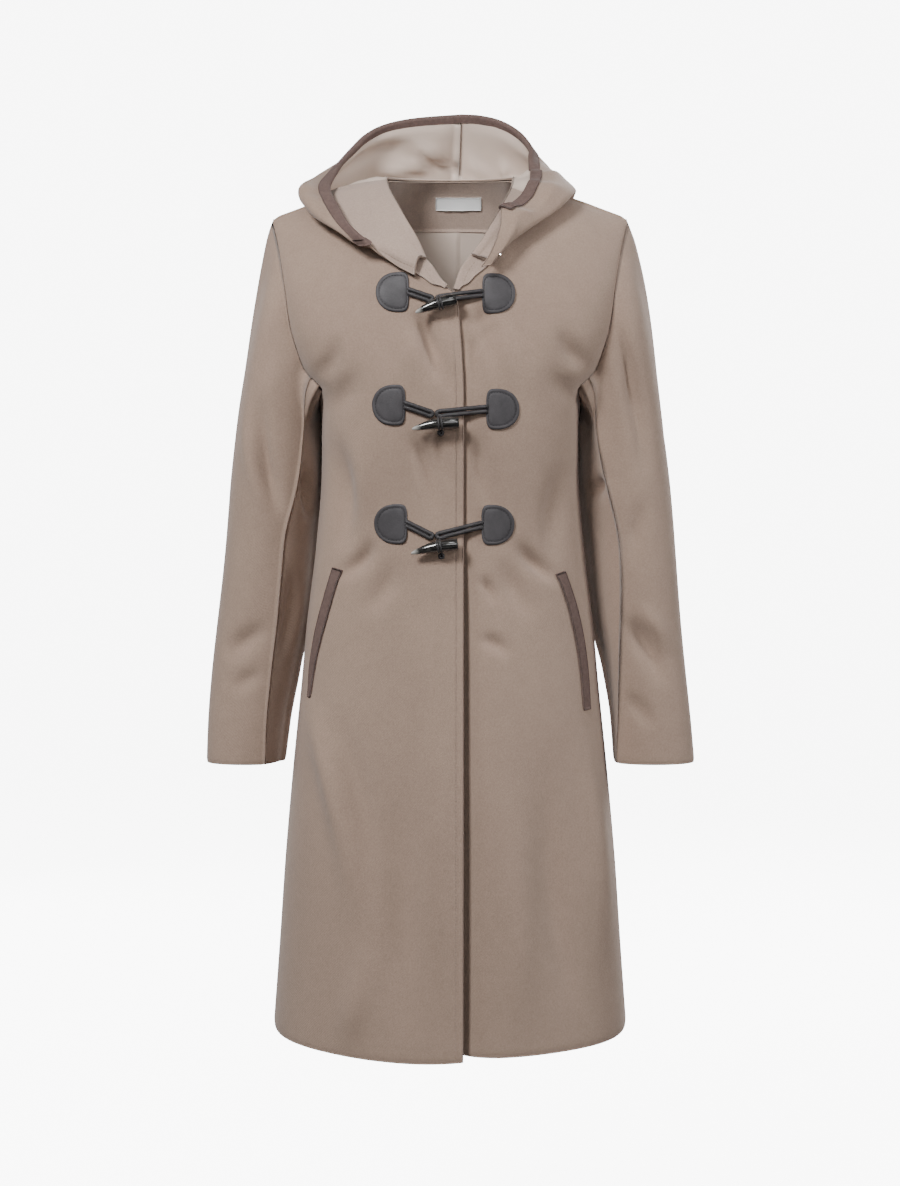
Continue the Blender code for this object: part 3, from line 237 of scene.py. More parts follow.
# Pocket welts: centre line (x, z), top to bottom, and width
WELTS = {
    "right": ((-128, -420), (-141, -465), (-150, -500), (-156, -532), (-159.5, -566)),
    "left": ((126, -424), (139.5, -466), (147, -500), (152, -535), (155.5, -580)),
}
WELT_WIDTH = 10 * MM
WELT_THICK = 1.6 * MM
WELT_CROWN = 0.35 * MM  # more at its middle
WELT_THREAD = 0.14 * MM  # height of its stitches


# ---------------------------------------------------------------- curves and surfaces

def smooth(xs, ys, x, rounded=False):
    """Cubic through the points. The xs rise; beyond the ends it runs straight on.

    It never overshoots a point, unless it is `rounded`, which turns corners in a wider bend.
    """
    xs = np.asarray(xs, float)
    ys = np.asarray(ys, float)
    step = np.diff(xs)
    slope = np.diff(ys) / step
    tangent = np.empty_like(ys)
    tangent[0] = slope[0]
    tangent[-1] = slope[-1]
    inner = slope[:-1] * slope[1:]
    weight_a = 2 * step[1:] + step[:-1]
    weight_b = step[1:] + 2 * step[:-1]
    safe_a = np.where(inner > 0, slope[:-1], 1.0)
    safe_b = np.where(inner > 0, slope[1:], 1.0)
    mean = (weight_a + weight_b) / (weight_a / safe_a + weight_b / safe_b)
    average = (slope[:-1] * step[1:] + slope[1:] * step[:-1]) / (step[1:] + step[:-1])
    tangent[1:-1] = average if rounded else np.where(inner > 0, mean, 0.0)
    x = np.asarray(x, float)
    cell = np.clip(np.searchsorted(xs, x) - 1, 0, len(xs) - 2)
    t = (x - xs[cell]) / step[cell]
    before = t < 0
    after = t > 1
    u = np.clip(t, 0, 1)
    value = (
        ys[cell] * (2 * u**3 - 3 * u**2 + 1)
        + ys[cell + 1] * (3 * u**2 - 2 * u**3)
        + tangent[cell] * step[cell] * (u**3 - 2 * u**2 + u)
        + tangent[cell + 1] * step[cell] * (u**3 - u**2)
    )
    value = np.where(before, ys[0] + tangent[0] * (x - xs[0]), value)
    return np.where(after, ys[-1] + tangent[-1] * (x - xs[-1]), value)


def from_table(heights, values, z):
    """A millimetre table read at a height in metres."""
    return smooth(heights, values, z / MM) * MM


def ease(t):
    t = np.clip(t, 0.0, 1.0)
    return t * t * (3 - 2 * t)


def bell(away, reach):
    """1 at a line and next to nothing at twice the reach from it."""
    return np.exp(-((away / reach) ** 2))


def groove(away, shape):
    """Depth of a groove of some reach and depth (in millimetres), at distances from its line."""
    reach, depth = shape
    return bell(away, reach * MM) * depth * MM


def unit(vectors):
    """Vectors made 1 long; they lie along the last axis."""
    return vectors / np.maximum(np.linalg.norm(vectors, axis=-1, keepdims=True), 1e-12)


def path_length(points):
    """Distance along a path at each of its points."""
    return np.concatenate([[0], np.cumsum(np.linalg.norm(np.diff(points, axis=0), axis=1))])


def straight_read(places, along, points):
    """Points at places along a path that runs straight between its own points."""
    return np.stack([np.interp(places, along, column) for column in np.asarray(points).T], axis=-1)


def curve_read(places, along, points):
    """Points at places along a smooth curve through a path's own points."""
    return np.stack([smooth(along, column, places, rounded=True) for column in np.asarray(points).T], axis=-1)


def run(grid, axis):
    """Distance along the cloth from a grid's first row (axis 0) or its first column (axis 1)."""
    steps = np.linalg.norm(np.diff(grid, axis=axis), axis=2)
    return np.insert(np.cumsum(steps, axis=axis), 0, 0.0, axis=axis)


def from_borders(grid):
    """Distance along the cloth from the first and last row and the first and last column."""
    down, over = run(grid, 0), run(grid, 1)
    return {"first": down, "last": down[-1:] - down, "start": over, "end": over[:, -1:] - over}


def shoulder_height(x):
    return smooth(SHOULDER_X, SHOULDER_HEIGHT, abs(x) / MM) * MM


def body_y(x, z, face):
    """The outer face of the body: face is -1 for the front and 1 for the back."""
    depth = FRONT_DEPTH if face < 0 else BACK_DEPTH
    reach = smooth(DROP, depth, (shoulder_height(x) - z) / MM) * MM
    half = from_table(BODY_HEIGHT, BODY_HALF_WIDTH, z)
    power = smooth(BODY_HEIGHT, BODY_SQUARENESS, z / MM)
    share = np.clip(1 - np.clip(abs(x) / half, 0, 1) ** power, 0, 1) ** (1 / power)
    return face * reach * share


def outside_body(point):
    """How far a point is outside the body, roughly, in metres."""
    x, y, z = point
    face = -1 if y < 0 else 1

    def level(p):
        return float(abs(p[1]) - face * body_y(p[0], p[2], face))

    here = level((x, y, z))
    steps = np.eye(3) * PROBE
    slope = np.array([level(np.array([x, y, z]) + step) - here for step in steps]) / PROBE
    steep = max(float(np.linalg.norm(slope)), 0.2)
    return here / steep, slope / steep


def clear_of_body(point, room):
    """Moves a point straight out of the body until it is at least `room` away."""
    point = np.array(point, float)
    for _ in range(60):
        away, direction = outside_body(point)
        if away >= room:
            break
        point = point + direction * min(max(room - away, LEAST_STEP), MOST_STEP)
    return point


def grid_normals(grid, outward):
    """Unit normals of a grid of points, turned so that on the whole they agree with `outward`."""
    normal = unit(np.cross(np.gradient(grid, axis=0), np.gradient(grid, axis=1)))
    return normal if np.sum(normal * outward) > 0 else -normal


def body_normals(x, z, face):
    """Outward normals of the body; at the shoulder and side seams they lie in the seam's plane."""
    step = PROBE
    along_x = (body_y(x + step, z, face) - body_y(x - step, z, face)) / (2 * step)
    along_z = (body_y(x, z + step, face) - body_y(x, z - step, face)) / (2 * step)
    normal = unit(np.stack([-along_x * face, np.full_like(x, float(face)), -along_z * face], axis=-1))
    normal[..., 1] *= ease(abs(body_y(x, z, face)) / SEAM_TURN)
    flat = np.linalg.norm(normal, axis=-1) < 0.05
    normal[..., 0] = np.where(flat, np.sign(x), normal[..., 0])
    return unit(normal)


def resample(points, count, last_step):
    """A smooth curve through points, read at even steps of the path and a last step of its own."""
    along = path_length(points)
    places = [*np.linspace(0, along[-1] - last_step, count - 1), along[-1]]
    return curve_read(places, along, points)


# ---------------------------------------------------------------- body panels

def panel_point(x, z, face, tuck=0.0):
    return np.array([x, float(body_y(x, z, face)) + tuck, z])


def tuck_depth(x, z):
    """How far the left front lies behind its plain surface, most under the other front."""
    return from_table(TUCK_HEIGHT, TUCK, z) * ease((TUCK_END - x) / TUCK_FADE)


def front_rows(hem):
    """Inner and outer height of each row of a front, from the hem to the shoulder seam."""
    skirt = (
        (hem, HEM_SIDE / MM), (-895, -885), (-815, -812), (-735, -735), (-655, -655), (-575, -575),
        (-500, -500), (-460, -460), (-420, -420), (-385, -386), (-350, -352), (-315, -320), (-280, -290),
        (-248, -262),
    )
    chest = (-212, -178, -145, -112, -100, -87, -74, -50, -22, 4, 26)
    return [*skirt, *zip(chest, ARM_ROWS)]


def neck_x(side, height):
    """Distance of the neckline from the middle, in millimetres."""
    if side == "left" and height < UNDER_NECK_TOP:
        share = (height - UNDER_NECK_BOTTOM) / (UNDER_NECK_TOP - UNDER_NECK_BOTTOM)
        return UNDER_NECK_X + (NECK_X[1] - UNDER_NECK_X) * share
    return float(smooth(NECK_HEIGHT, NECK_X, height))


def edge_point(side, height):
    """x of the inner edge of a front at a height, in millimetres: front edge, lapel roll and neckline."""
    if side == "right":
        if height > NECK_HEIGHT[0]:
            return -neck_x(side, height)
        return float(smooth(EDGE_HEIGHT, TOP_EDGE_X, height))
    if height > UNDER_NECK_BOTTOM:
        return neck_x(side, height)
    return float(smooth(UNDER_EDGE_HEIGHT, UNDER_EDGE_X, height))


def arm_or_side(z, face):
    if z > UNDERARM:
        return from_table(ARM_HEIGHT, ARM_FRONT_X if face < 0 else ARM_BACK_X, z)
    return from_table(BODY_HEIGHT, BODY_HALF_WIDTH, z)


def hem_bow(z_in, share):
    """How far a front's row hangs below a straight line: most at the hem, and none above the pockets."""
    return HEM_BOW * ease((-790 - z_in / MM) / 170.0) * (1 - abs(2 * share - 1) ** 3)


def shoulder_bow(x):
    """How far the shoulder line rises over a straight line between its ends."""
    share = (abs(x) - NECK_POINT_X) / (SHOULDER_POINT_X - NECK_POINT_X)
    if share <= 0 or share >= 1:
        return 0.0
    return float(shoulder_height(x)) - (NECK_POINT_Z + (SHOULDER_END - NECK_POINT_Z) * share)


def trimmed(grid, first=0.0, last=0.0, start=0.0, end=0.0):
    """The grid with its borders drawn in: first and last row, first and last column."""
    grid = grid.copy()

    def draw_in(edge, inner, amount):
        return edge + unit(inner - edge) * amount

    grid[0] = draw_in(grid[0], grid[1], first)
    grid[-1] = draw_in(grid[-1], grid[-2], last)
    grid[:, 0] = draw_in(grid[:, 0], grid[:, 1], start)
    grid[:, -1] = draw_in(grid[:, -1], grid[:, -2], end)
    return grid


def top_height(x):
    """Top edge of the back: the shoulder seam, and between the neck points the neckline."""
    if abs(x) >= NECK_POINT_X:
        return float(shoulder_height(x))
    share = abs(x) / NECK_POINT_X
    return NECK_BACK_HEIGHT + (NECK_POINT_Z - NECK_BACK_HEIGHT) * share**3


# ---------------------------------------------------------------- sleeves

def armhole(sign, front_z, back_z):
    """Turns and points of the armhole: turn 0 at the shoulder, 90 in front, 180 below, 270 behind."""
    turns, points = [], []
    for face, z in ((-1, front_z), (1, back_z)):
        x = from_table(ARM_HEIGHT, ARM_FRONT_X if face < 0 else ARM_BACK_X, z)
        y = body_y(x, z, face)
        deep, tall = np.abs(y) / ARMHOLE_HALF_DEPTH, (z - ARMHOLE_MIDDLE) / ARMHOLE_HALF_HEIGHT
        turn = np.degrees(np.arctan2(deep, tall))
        turns.append(turn if face < 0 else 360.0 - turn)
        points.append(np.stack([sign * x, y, z], axis=1))
    turns, points = np.concatenate(turns), np.concatenate(points)
    order = np.argsort(turns)
    return turns[order], points[order]


def side_x(y, z):
    """Half width of the body at depths, below the arms."""
    drop = -z / MM
    reach = np.where(y < 0, smooth(DROP, FRONT_DEPTH, drop), smooth(DROP, BACK_DEPTH, drop)) * MM
    power = smooth(BODY_HEIGHT, BODY_SQUARENESS, z / MM)
    share = np.clip(1 - np.clip(abs(y) / reach, 0, 1) ** power, 0, 1) ** (1 / power)
    return from_table(BODY_HEIGHT, BODY_HALF_WIDTH, z) * share


def sleeve_section(side, ring, turns):
    """Points round a sleeve at a ring, which may lie between two rows of SLEEVE_RING.

    It is an ellipse, flattened behind the front seam, and pressed against the body where it rests on it.
    """
    sign = SIGN[side]
    rows = np.array(SLEEVE_RING, float)
    order = np.arange(len(rows))
    height, centre_x, half_x, centre_y, half_y = [float(smooth(order, c, ring)) * MM for c in rows.T]

    def ellipse(turn):
        angle = np.radians(turn)
        return centre_x + half_x * np.cos(angle), centre_y - half_y * np.sin(angle)

    turns = np.asarray(turns, float)
    seam = 90.0 + float(smooth(order, FRONT_SEAM_TURN[side], ring))
    share = (turns - seam) / (SLEEVE_FLAT_END - seam)
    flat = np.where((share > 0) & (share < 1), SLEEVE_FLAT * ease((1 - share) / SLEEVE_FLAT_FADE), 0.0)
    (x, y), (x_seam, y_seam), (x_end, y_end) = ellipse(turns), ellipse(seam), ellipse(SLEEVE_FLAT_END)
    x = x + flat * (x_seam + (x_end - x_seam) * share - x)
    y = y + flat * (y_seam + (y_end - y_seam) * share - y)
    press = float(smooth(order, SLEEVE_PRESS, ring)) * MM
    x = x - press * np.clip(-np.cos(np.radians(turns)), 0, 1)
    body = side_x(y, height) + SLEEVE_REST
    x = (x + body + np.hypot(x - body, SLEEVE_LEAN)) / 2
    return np.stack([sign * x, y, np.full_like(x, height)], axis=-1)


def seam_turns(side, piece, along, starts):
    """Turns of the two seams of a sleeve piece at a place along it; they start at `starts`."""
    front = [90.0 + value for value in FRONT_SEAM_TURN[side]]
    back = [270.0 + value for value in BACK_SEAM_TURN]
    if piece == "upper":
        rings = [value - 360.0 for value in back], front
    else:
        rings = front, back
    order = np.arange(len(front) + 1)
    return [float(smooth(order, [start, *turns], along)) for start, turns in zip(starts, rings)]


def sleeve_turns(piece):
    """Turns at the armhole of a piece's threads, from seam to seam."""
    heights = np.array(ARM_ROWS) * MM
    by_turn, _ = armhole(1, heights, heights[1:-1])
    under_arm = len(ARM_ROWS) - 1
    front = by_turn[under_arm - FRONT_SEAM_ROW]
    back = by_turn[under_arm + BACK_SEAM_ROW]
    if piece == "under":
        return [turn for turn in by_turn if front <= turn <= back]
    return [turn - 360.0 for turn in by_turn if turn >= back] + [turn for turn in by_turn if turn <= front]


# ---------------------------------------------------------------- hood

def neckline_point(side, place):
    """place 0 is the lapel notch, 1 the neck point at the shoulder seam and 2 the centre back."""
    sign = SIGN[side]
    if place <= 1:
        bottom = NECK_HEIGHT[0] if side == "right" else UNDER_NECK_BOTTOM
        share = math.sin(math.pi / 2 * place) ** 1.2
        height = bottom + (NECK_HEIGHT[-1] - bottom) * share
        x = neck_x(side, height) * MM
        return np.array([sign * x, float(body_y(x, height * MM, -1)), height * MM])
    x = NECK_POINT_X * math.cos(math.pi / 2 * (place - 1))
    z = top_height(x)
    return np.array([sign * x, float(body_y(x, z, 1)), z])


def hood_profile(side, station, count):
    """The outer face of the hood at one station, from the neck seam by the fold to the face edge."""
    sign = SIGN[side]
    rows = np.array(HOOD[side], float)
    order = np.arange(len(rows))
    row = {name: float(smooth(order, rows[:, k], station)) for k, name in enumerate(HOOD_COLUMNS)}
    neck = clear_of_body(neckline_point(side, row["neck"]), HOOD_NECK_CLEAR)
    plies = HOOD_PLIES * float(ease((row["fold_x"] - row["face_x"]) / 8.0))
    fold = np.array([sign * row["fold_x"], row["fold_y"], row["fold_z"]]) * MM
    fold = clear_of_body(fold, HOOD_CLEAR + plies / 2)
    face = np.array([sign * row["face_x"], row["face_y"], row["face_z"]]) * MM
    face = clear_of_body(face, HOOD_CLEAR + plies)
    lower_a = clear_of_body(neck * 0.68 + fold * 0.32, HOOD_CLEAR)
    lower_b = clear_of_body(neck * 0.30 + fold * 0.70, HOOD_CLEAR)
    middle = (fold + face) / 2
    across = unit(face - fold)
    outward = middle - neck
    outward = unit(outward - across * np.dot(outward, across))
    rise = middle + outward * row["swell"] * MM
    return resample([neck, lower_a, lower_b, fold, rise, face], count, BINDING_WIDTH)


def hood_grid(side):
    return relaxed(np.array([hood_profile(side, station, HOOD_COUNT) for station in HOOD_STATIONS]))


def relaxed(grid):
    """Eases the folds of the hood, as thick cloth does, and keeps its seams, its face edge and its room."""
    grid = grid.copy()
    for _ in range(HOOD_RELAX_ROUNDS):
        along = (grid[:, :-4] + grid[:, 2:-2]) / 2
        eased = grid.copy()
        eased[:, 1:-3] = grid[:, 1:-3] * 0.5 + along * 0.5
        between = (eased[:-2, 1:-3] + eased[2:, 1:-3]) / 2
        grid = eased
        grid[1:-1, 1:-3] = eased[1:-1, 1:-3] * 0.7 + between * 0.3
    for row in grid:
        for column in range(1, len(row) - 2):
            row[column] = clear_of_body(row[column], HOOD_CLEAR)
    return grid


# ---------------------------------------------------------------- pieces wrapped round an edge

def profile_surface(profile, normals):
    """surface(distance, offset) for the face edge at the end of one hood profile."""
    back = profile[::-1]
    along = path_length(back)
    turned = normals[::-1]
    beyond = unit(back[0] - back[1])

    def surface(distance, offset):
        if distance < 0:
            return back[0] - beyond * distance + turned[0] * offset
        return straight_read(distance, along, back) + unit(straight_read(distance, along, turned)) * offset

    return surface


def lapel_surface(side, height):
    """surface(distance, offset) for the roll line of a front at a height."""
    sign = SIGN[side]
    z = height * MM
    x = edge_point(side, height) * MM
    ahead = unit(np.array([edge_point(side, height + 1) - edge_point(side, height - 1), 2.0]))
    across = np.array([ahead[1], -ahead[0]]) * sign

    def surface(distance, offset):
        at_x, at_z = x + across[0] * distance, z + across[1] * distance
        tuck = 0.0 if side == "right" else tuck_depth(at_x, at_z)
        return panel_point(at_x, at_z, -1, tuck) + body_normals(at_x, at_z, -1) * offset

    return surface


def cord_path(side, start_x, start_z, end_x, end_z):
    """Out along one strand, round under the toggle and back along the other, lying on the fronts."""
    sign = -SIGN[side]
    half = CORD_SPACING / 2
    flat = []
    for share in np.linspace(0, 1, 6):
        flat.append((start_x + (end_x - start_x) * share, start_z + (end_z - start_z) * share + half))
    turn = []
    for angle in np.linspace(0, math.pi, 6):
        turn.append((end_x + sign * half * math.sin(angle), end_z + half * math.cos(angle)))
    back = [(x, z - CORD_SPACING) for x, z in reversed(flat)]
    points = []
    for x, z in flat[:-1] + turn + back[1:]:
        points.append(panel_point(x, z, -1) + body_normals(x, z, -1) * cord_height(side, x, z))
    return points


def cord_height(side, x, z):
    """Height of a cord's middle over the plain body: on the left it climbs onto the other front."""
    height = CORD_RADIUS + CORD_LIFT
    if side == "left":
        height -= tuck_depth(x, z) * float(ease((x - CORD_CLIMB_END) / CORD_CLIMB))
    return height


# ---------------------------------------------------------------- dressing sizes

PITCH = 5.0  # spacing of the fine cloth, in millimetres
EDGE_STEPS = (0, 1.0, 2.4, 4.2, 6.2, 7.3, 8.0, 8.7, 9.8, 12.0, 15.0)  # columns beside a front edge
HEM_STEPS = (0, 1.0, 3.0, 6.0)  # rows beside a hem or a cuff
CUFF_ROW = 60.0  # from the last ring of a sleeve but one to the cuff, about
FRONT_COLUMNS = 58
MEAN_DEPTH = 95 * MM  # of the body, for the length of a row of a front
BACK_COLUMNS = 121
SLEEVE_COLUMNS = {"upper": 48, "under": 28}
HOOD_FINE_ROWS = 116
HOOD_FINE_COLUMNS = 68
BORDER_ROUNDS = 3  # rows of points round the border of a cloth shell
SEAM = 0.06 * MM  # half the open line between two sewn pieces
SEAM_DIP = 0.5 * MM  # how far the cloth sinks at a seam
SEAM_WIDE = 2.5 * MM  # how far from it that shows
PLEAT_X, PLEAT_WIDE, PLEAT_DEEP = 9.0, 14.0, 1.8  # fold of the lining's centre pleat, its width and depth
PATCH_RINGS = (
    # share of the way to the edge, height in leather thicknesses
    (0.15, 1.55), (0.35, 1.50), (0.55, 1.38), (0.70, 1.22), (0.775, 1.08),
    (0.805, 0.86), (0.835, 0.84), (0.865, 1.02), (0.90, 1.10), (0.94, 1.06),
    (0.975, 0.86), (0.995, 0.52), (1.0, 0.25), (0.985, 0.0), (0.5, 0.0),
)
STITCH_SHARE = 0.82  # share of the way to a patch's edge where its stitches lie
TOGGLE_FINE = (0.93, 1.0, 1.02, 1.0, 0.97, 0.92, 0.84, 0.74, 0.62, 0.47, 0.24)

CAMERA_AWAY = 3.0
CAMERA_HEIGHT = -0.319
AIM_HEIGHT = -0.450
VIEW_ANGLE = 2 * math.atan(0.5 * 1.16 * MM * 1186 / CAMERA_AWAY)  # the photo is 1186 px of 1.16 mm high
SENSOR = 36.0
FLOOR = -1.25
STUDIO_RADIUS = 9.0
STUDIO_BEND, STUDIO_WALL, STUDIO_TOP = 1.5, 6.0, 12.0  # radius of the floor's turn into the wall, and heights
STUDIO_GLOW = 8.0
WORLD_STRENGTH = 0.05
LIGHTS = (
    # name, place, aim, size, watts
    ("key", (-1.45, -2.25, 1.55), (0.0, 0.0, -0.10), (0.85, 0.75), 116.0),
    ("fill", (0.3, -3.2, 0.35), (0.0, 0.0, -0.25), (1.2, 1.2), 20.0),
    ("side_right", (-2.6, -0.5, 0.4), (0.0, 0.0, -0.35), (0.8, 2.0), 8.0),
    ("side_left", (2.6, -0.7, 0.4), (0.0, 0.0, -0.35), (0.8, 2.0), 50.0),
    ("neck", (0.1, -1.6, 1.2), (0.02, 0.05, 0.02), (0.3, 0.3), 5.0),
    ("back_key", (1.5, 2.7, 1.0), (0.0, 0.1, -0.35), (1.0, 1.0), 105.0),
    ("back_fill", (-1.6, 2.7, -0.1), (0.0, 0.1, -0.45), (1.2, 1.2), 38.0),
)
STITCHES = {
    # length of a stitch, space to the next one, and radius of the thread, in millimetres
    "thread": (3.0, 0.9, 0.30),
    "thread_dark": (2.5, 0.8, 0.34),
    "thread_trim": (2.2, 0.7, 0.26),
    "thread_pale": (1.6, 0.5, 0.20),
}
NODE_LOOKS = (
    ("toggle_patch", "leather"), ("toggle_cord", "leather_cord"), ("toggle_knot", "leather_cord"),
    ("toggle_", "horn"), ("pocket_welt", "suede_trim"), ("neck_stud", "stud_metal"), ("label", "label_cloth"),
)

# Waves of the cloth's unevenness: width and height, share of the phase, and how deep they are
UNEVEN = ((37.0, 83.0, 1.0, 0.32), (61.0, -49.0, 2.1, 0.34), (23.0, 131.0, 0.7, 0.16))
# Grooves and rolled edges: reach and depth in millimetres
HEM_PRESS, CUFF_PRESS, EDGE_ROLL = (3.0, 0.9), (2.5, 0.7), (2.2, 0.5)
STITCH_GROOVE, HOOD_GROOVE = (1.0, 0.9), (1.1, 0.45)
# Distance from a border within which the folds fade
NECK_FADE, SIDE_FADE, BACK_FADE, HOOD_FADE, SATIN_FADE = 22 * MM, 38 * MM, 20 * MM, 16 * MM, 18 * MM
SLEEVE_HEAD_FADE, SLEEVE_SEAM_FADE, SLEEVE_CLEAR, PLEAT_FADE = 26 * MM, 20 * MM, 9 * MM, 6 * MM
HOOD_RISE = 1.2 * MM  # highest fold of the hood's outside, and how far the satin hangs off the wool
CREASE_RUN_OUT = 0.12  # share of its length by which a crease runs on at each end
# Creases as seen from in front: start x, z, end x, z, bow, half width, height, place of the greatest height.
# Millimetres; a trough has a negative height.
FRONT_FOLDS = (
    (-37, -136, -14, -200, 3, 8.0, -2.9, 0.25),
    (-27, -146, 6, -222, -4, 7.5, -2.4, 0.35),
    (-48, -146, -38, -215, 2, 9.0, 1.3, 0.40),
    (31, -128, 50, -188, 3, 7.0, -2.9, 0.25),
    (44, -135, 72, -214, 4, 9.0, 1.2, 0.40),
    (20, -150, 30, -225, 2, 7.0, -1.8, 0.30),
    (-40, -272, -16, -356, 4, 9.0, -2.4, 0.30),
    (-18, -262, 4, -330, -3, 7.0, -1.5, 0.40),
    (30, -268, 46, -350, -4, 9.0, -1.6, 0.35),
    (-129, -276, -122, -402, 6, 14.0, -3.2, 0.45),
    (-104, -262, -100, -380, 3, 15.0, 1.6, 0.50),
    (-84, -388, -128, -428, 5, 8.0, -2.8, 0.45),
    (-60, -412, -100, -470, 5, 12.0, -1.7, 0.40),
    (74, -388, 126, -432, -5, 8.0, -2.9, 0.45),
    (58, -410, 96, -476, -4, 12.0, -1.6, 0.40),
    (-158, -578, -106, -806, 8, 14.0, 3.6, 0.40),
    (-128, -590, -84, -800, 6, 20.0, -2.2, 0.45),
    (36, -428, 52, -462, 2, 6.0, -1.9, 0.35),
    (34, -496, 70, -516, 3, 7.0, -1.8, 0.35),
    (121, -148, 158, -198, -4, 11.0, -2.6, 0.60),
    (104, -170, 140, -232, -4, 13.0, -1.4, 0.60),
    (-122, -164, -152, -206, 4, 10.0, -2.0, 0.60),
    (-98, -180, -134, -246, 4, 13.0, -1.2, 0.60),
    (-58, -622, -44, -930, -6, 22.0, -2.6, 0.55),
    (-20, -560, -10, -900, 3, 20.0, 1.5, 0.50),
    (104, -622, 144, -926, -6, 22.0, -3.2, 0.55),
    (62, -660, 76, -950, 4, 20.0, 2.0, 0.60),
    (150, -600, 176, -860, 4, 14.0, 2.4, 0.50),
    (128, -300, 118, -420, -5, 14.0, -2.4, 0.45),
    (-90, -820, -118, -950, 3, 16.0, 1.8, 0.70),
)
BACK_FOLDS = (
    (-62, -236, -78, -430, 6, 15.0, -3.0, 0.45),
    (54, -220, 82, -404, -5, 16.0, -2.6, 0.40),
    (-34, -250, -28, -420, 3, 14.0, 1.8, 0.50),
    (112, -270, 120, -430, 4, 13.0, -2.4, 0.50),
    (-118, -290, -112, -400, -4, 12.0, -2.0, 0.50),
    (-92, -560, -126, -912, 8, 22.0, -4.2, 0.55),
    (72, -590, 104, -930, -7, 24.0, -4.4, 0.60),
    (-40, -600, -52, -940, -5, 20.0, 3.0, 0.60),
    (36, -640, 48, -930, 4, 18.0, 2.6, 0.60),
    (140, -470, 168, -700, 5, 16.0, -2.8, 0.40),
    (-142, -500, -166, -760, -6, 17.0, -2.6, 0.45),
    (-152, -112, -106, -204, -6, 11.0, -2.8, 0.35),
    (150, -104, 108, -188, 6, 11.0, -2.5, 0.35),
    (-120, -150, -84, -250, -4, 12.0, 1.6, 0.40),
    (-60, -440, -130, -480, 5, 10.0, -2.0, 0.50),
    (52, -432, 124, -468, -5, 10.0, -2.2, 0.50),
)
SLEEVE_FRONT_FOLDS = {
    "right": (
        (-216, -222, -193, -360, -7, 8.5, -4.4, 0.62),
        (-232, -214, -212, -352, -6, 9.0, 1.6, 0.60),
        (-258, -522, -204, -488, 4, 11.0, -2.8, 0.40),
        (-250, -560, -212, -540, 3, 9.0, -1.6, 0.45),
        (-173, -300, -163, -366, 4, 6.0, -4.2, 0.45),
        (-206, -130, -216, -220, 3, 12.0, -1.5, 0.50),
        (-182, -420, -196, -520, 4, 8.0, -2.0, 0.50),
    ),
    "left": (
        (190, -150, 208, -262, 5, 8.5, -3.2, 0.45),
        (204, -176, 222, -318, 5, 9.5, -3.0, 0.45),
        (200, -474, 244, -552, 5, 10.0, -4.0, 0.45),
        (214, -462, 254, -520, 4, 10.0, 1.6, 0.45),
        (186, -312, 160, -346, -4, 7.0, -3.6, 0.45),
        (222, -340, 206, -420, -3, 11.0, -1.8, 0.50),
        (196, -560, 232, -604, 3, 8.0, -1.8, 0.50),
    ),
}
SLEEVE_BACK_FOLDS = {
    "right": (
        (236, -292, 184, -338, 5, 9.0, -3.6, 0.40),
        (250, -372, 190, -352, -5, 8.5, -3.2, 0.55),
        (240, -330, 200, -318, 3, 8.0, 1.6, 0.50),
        (214, -130, 224, -250, 4, 11.0, -2.2, 0.50),
        (250, -470, 212, -540, 4, 10.0, -2.0, 0.50),
    ),
    "left": (
        (240, -316, 186, -350, 5, 9.0, -3.4, 0.45),
        (246, -260, 196, -300, 4, 8.5, -2.9, 0.50),
        (252, -404, 196, -380, -5, 9.0, -2.8, 0.50),
        (208, -120, 220, -214, -3, 11.0, -2.0, 0.50),
        (256, -500, 214, -566, 4, 11.0, -2.4, 0.50),
    ),
}
HOOD_BACK_FOLDS = (
    (-30, -30, -70, 40, 6, 11.0, -3.0, 0.45),
    (34, -36, 82, 30, -6, 12.0, -3.2, 0.50),
    (-8, -70, 10, 20, 3, 10.0, -1.8, 0.50),
    (-84, -60, -120, 0, 4, 10.0, -2.4, 0.50),
    (90, -70, 124, -6, -4, 10.0, -2.2, 0.50),
    (-30, -120, -60, -60, 4, 10.0, -2.0, 0.50),
    (40, -124, 66, -66, -4, 10.0, -2.2, 0.50),
)
SATIN_FOLDS = (
    (-46, 82, -6, 60, 5, 6.0, -2.6, 0.45),
    (-70, 60, -24, 66, -5, 7.0, -2.2, 0.50),
    (-96, 50, -46, 44, 4, 6.5, -1.8, 0.50),
    (-34, 70, 4, 40, 4, 6.0, 1.4, 0.50),
    (20, 72, 54, 40, -4, 6.5, -1.8, 0.45),
    (66, 66, 70, 36, 2, 4.0, -2.6, 0.50),
    (76, 40, 90, 22, 2, 4.5, -2.6, 0.50),
    (60, 30, 96, 36, 3, 5.0, -1.8, 0.50),
    (-60, 36, -10, 32, -3, 5.0, -1.6, 0.50),
    (12, 36, 50, 30, 3, 5.0, -1.6, 0.50),
)
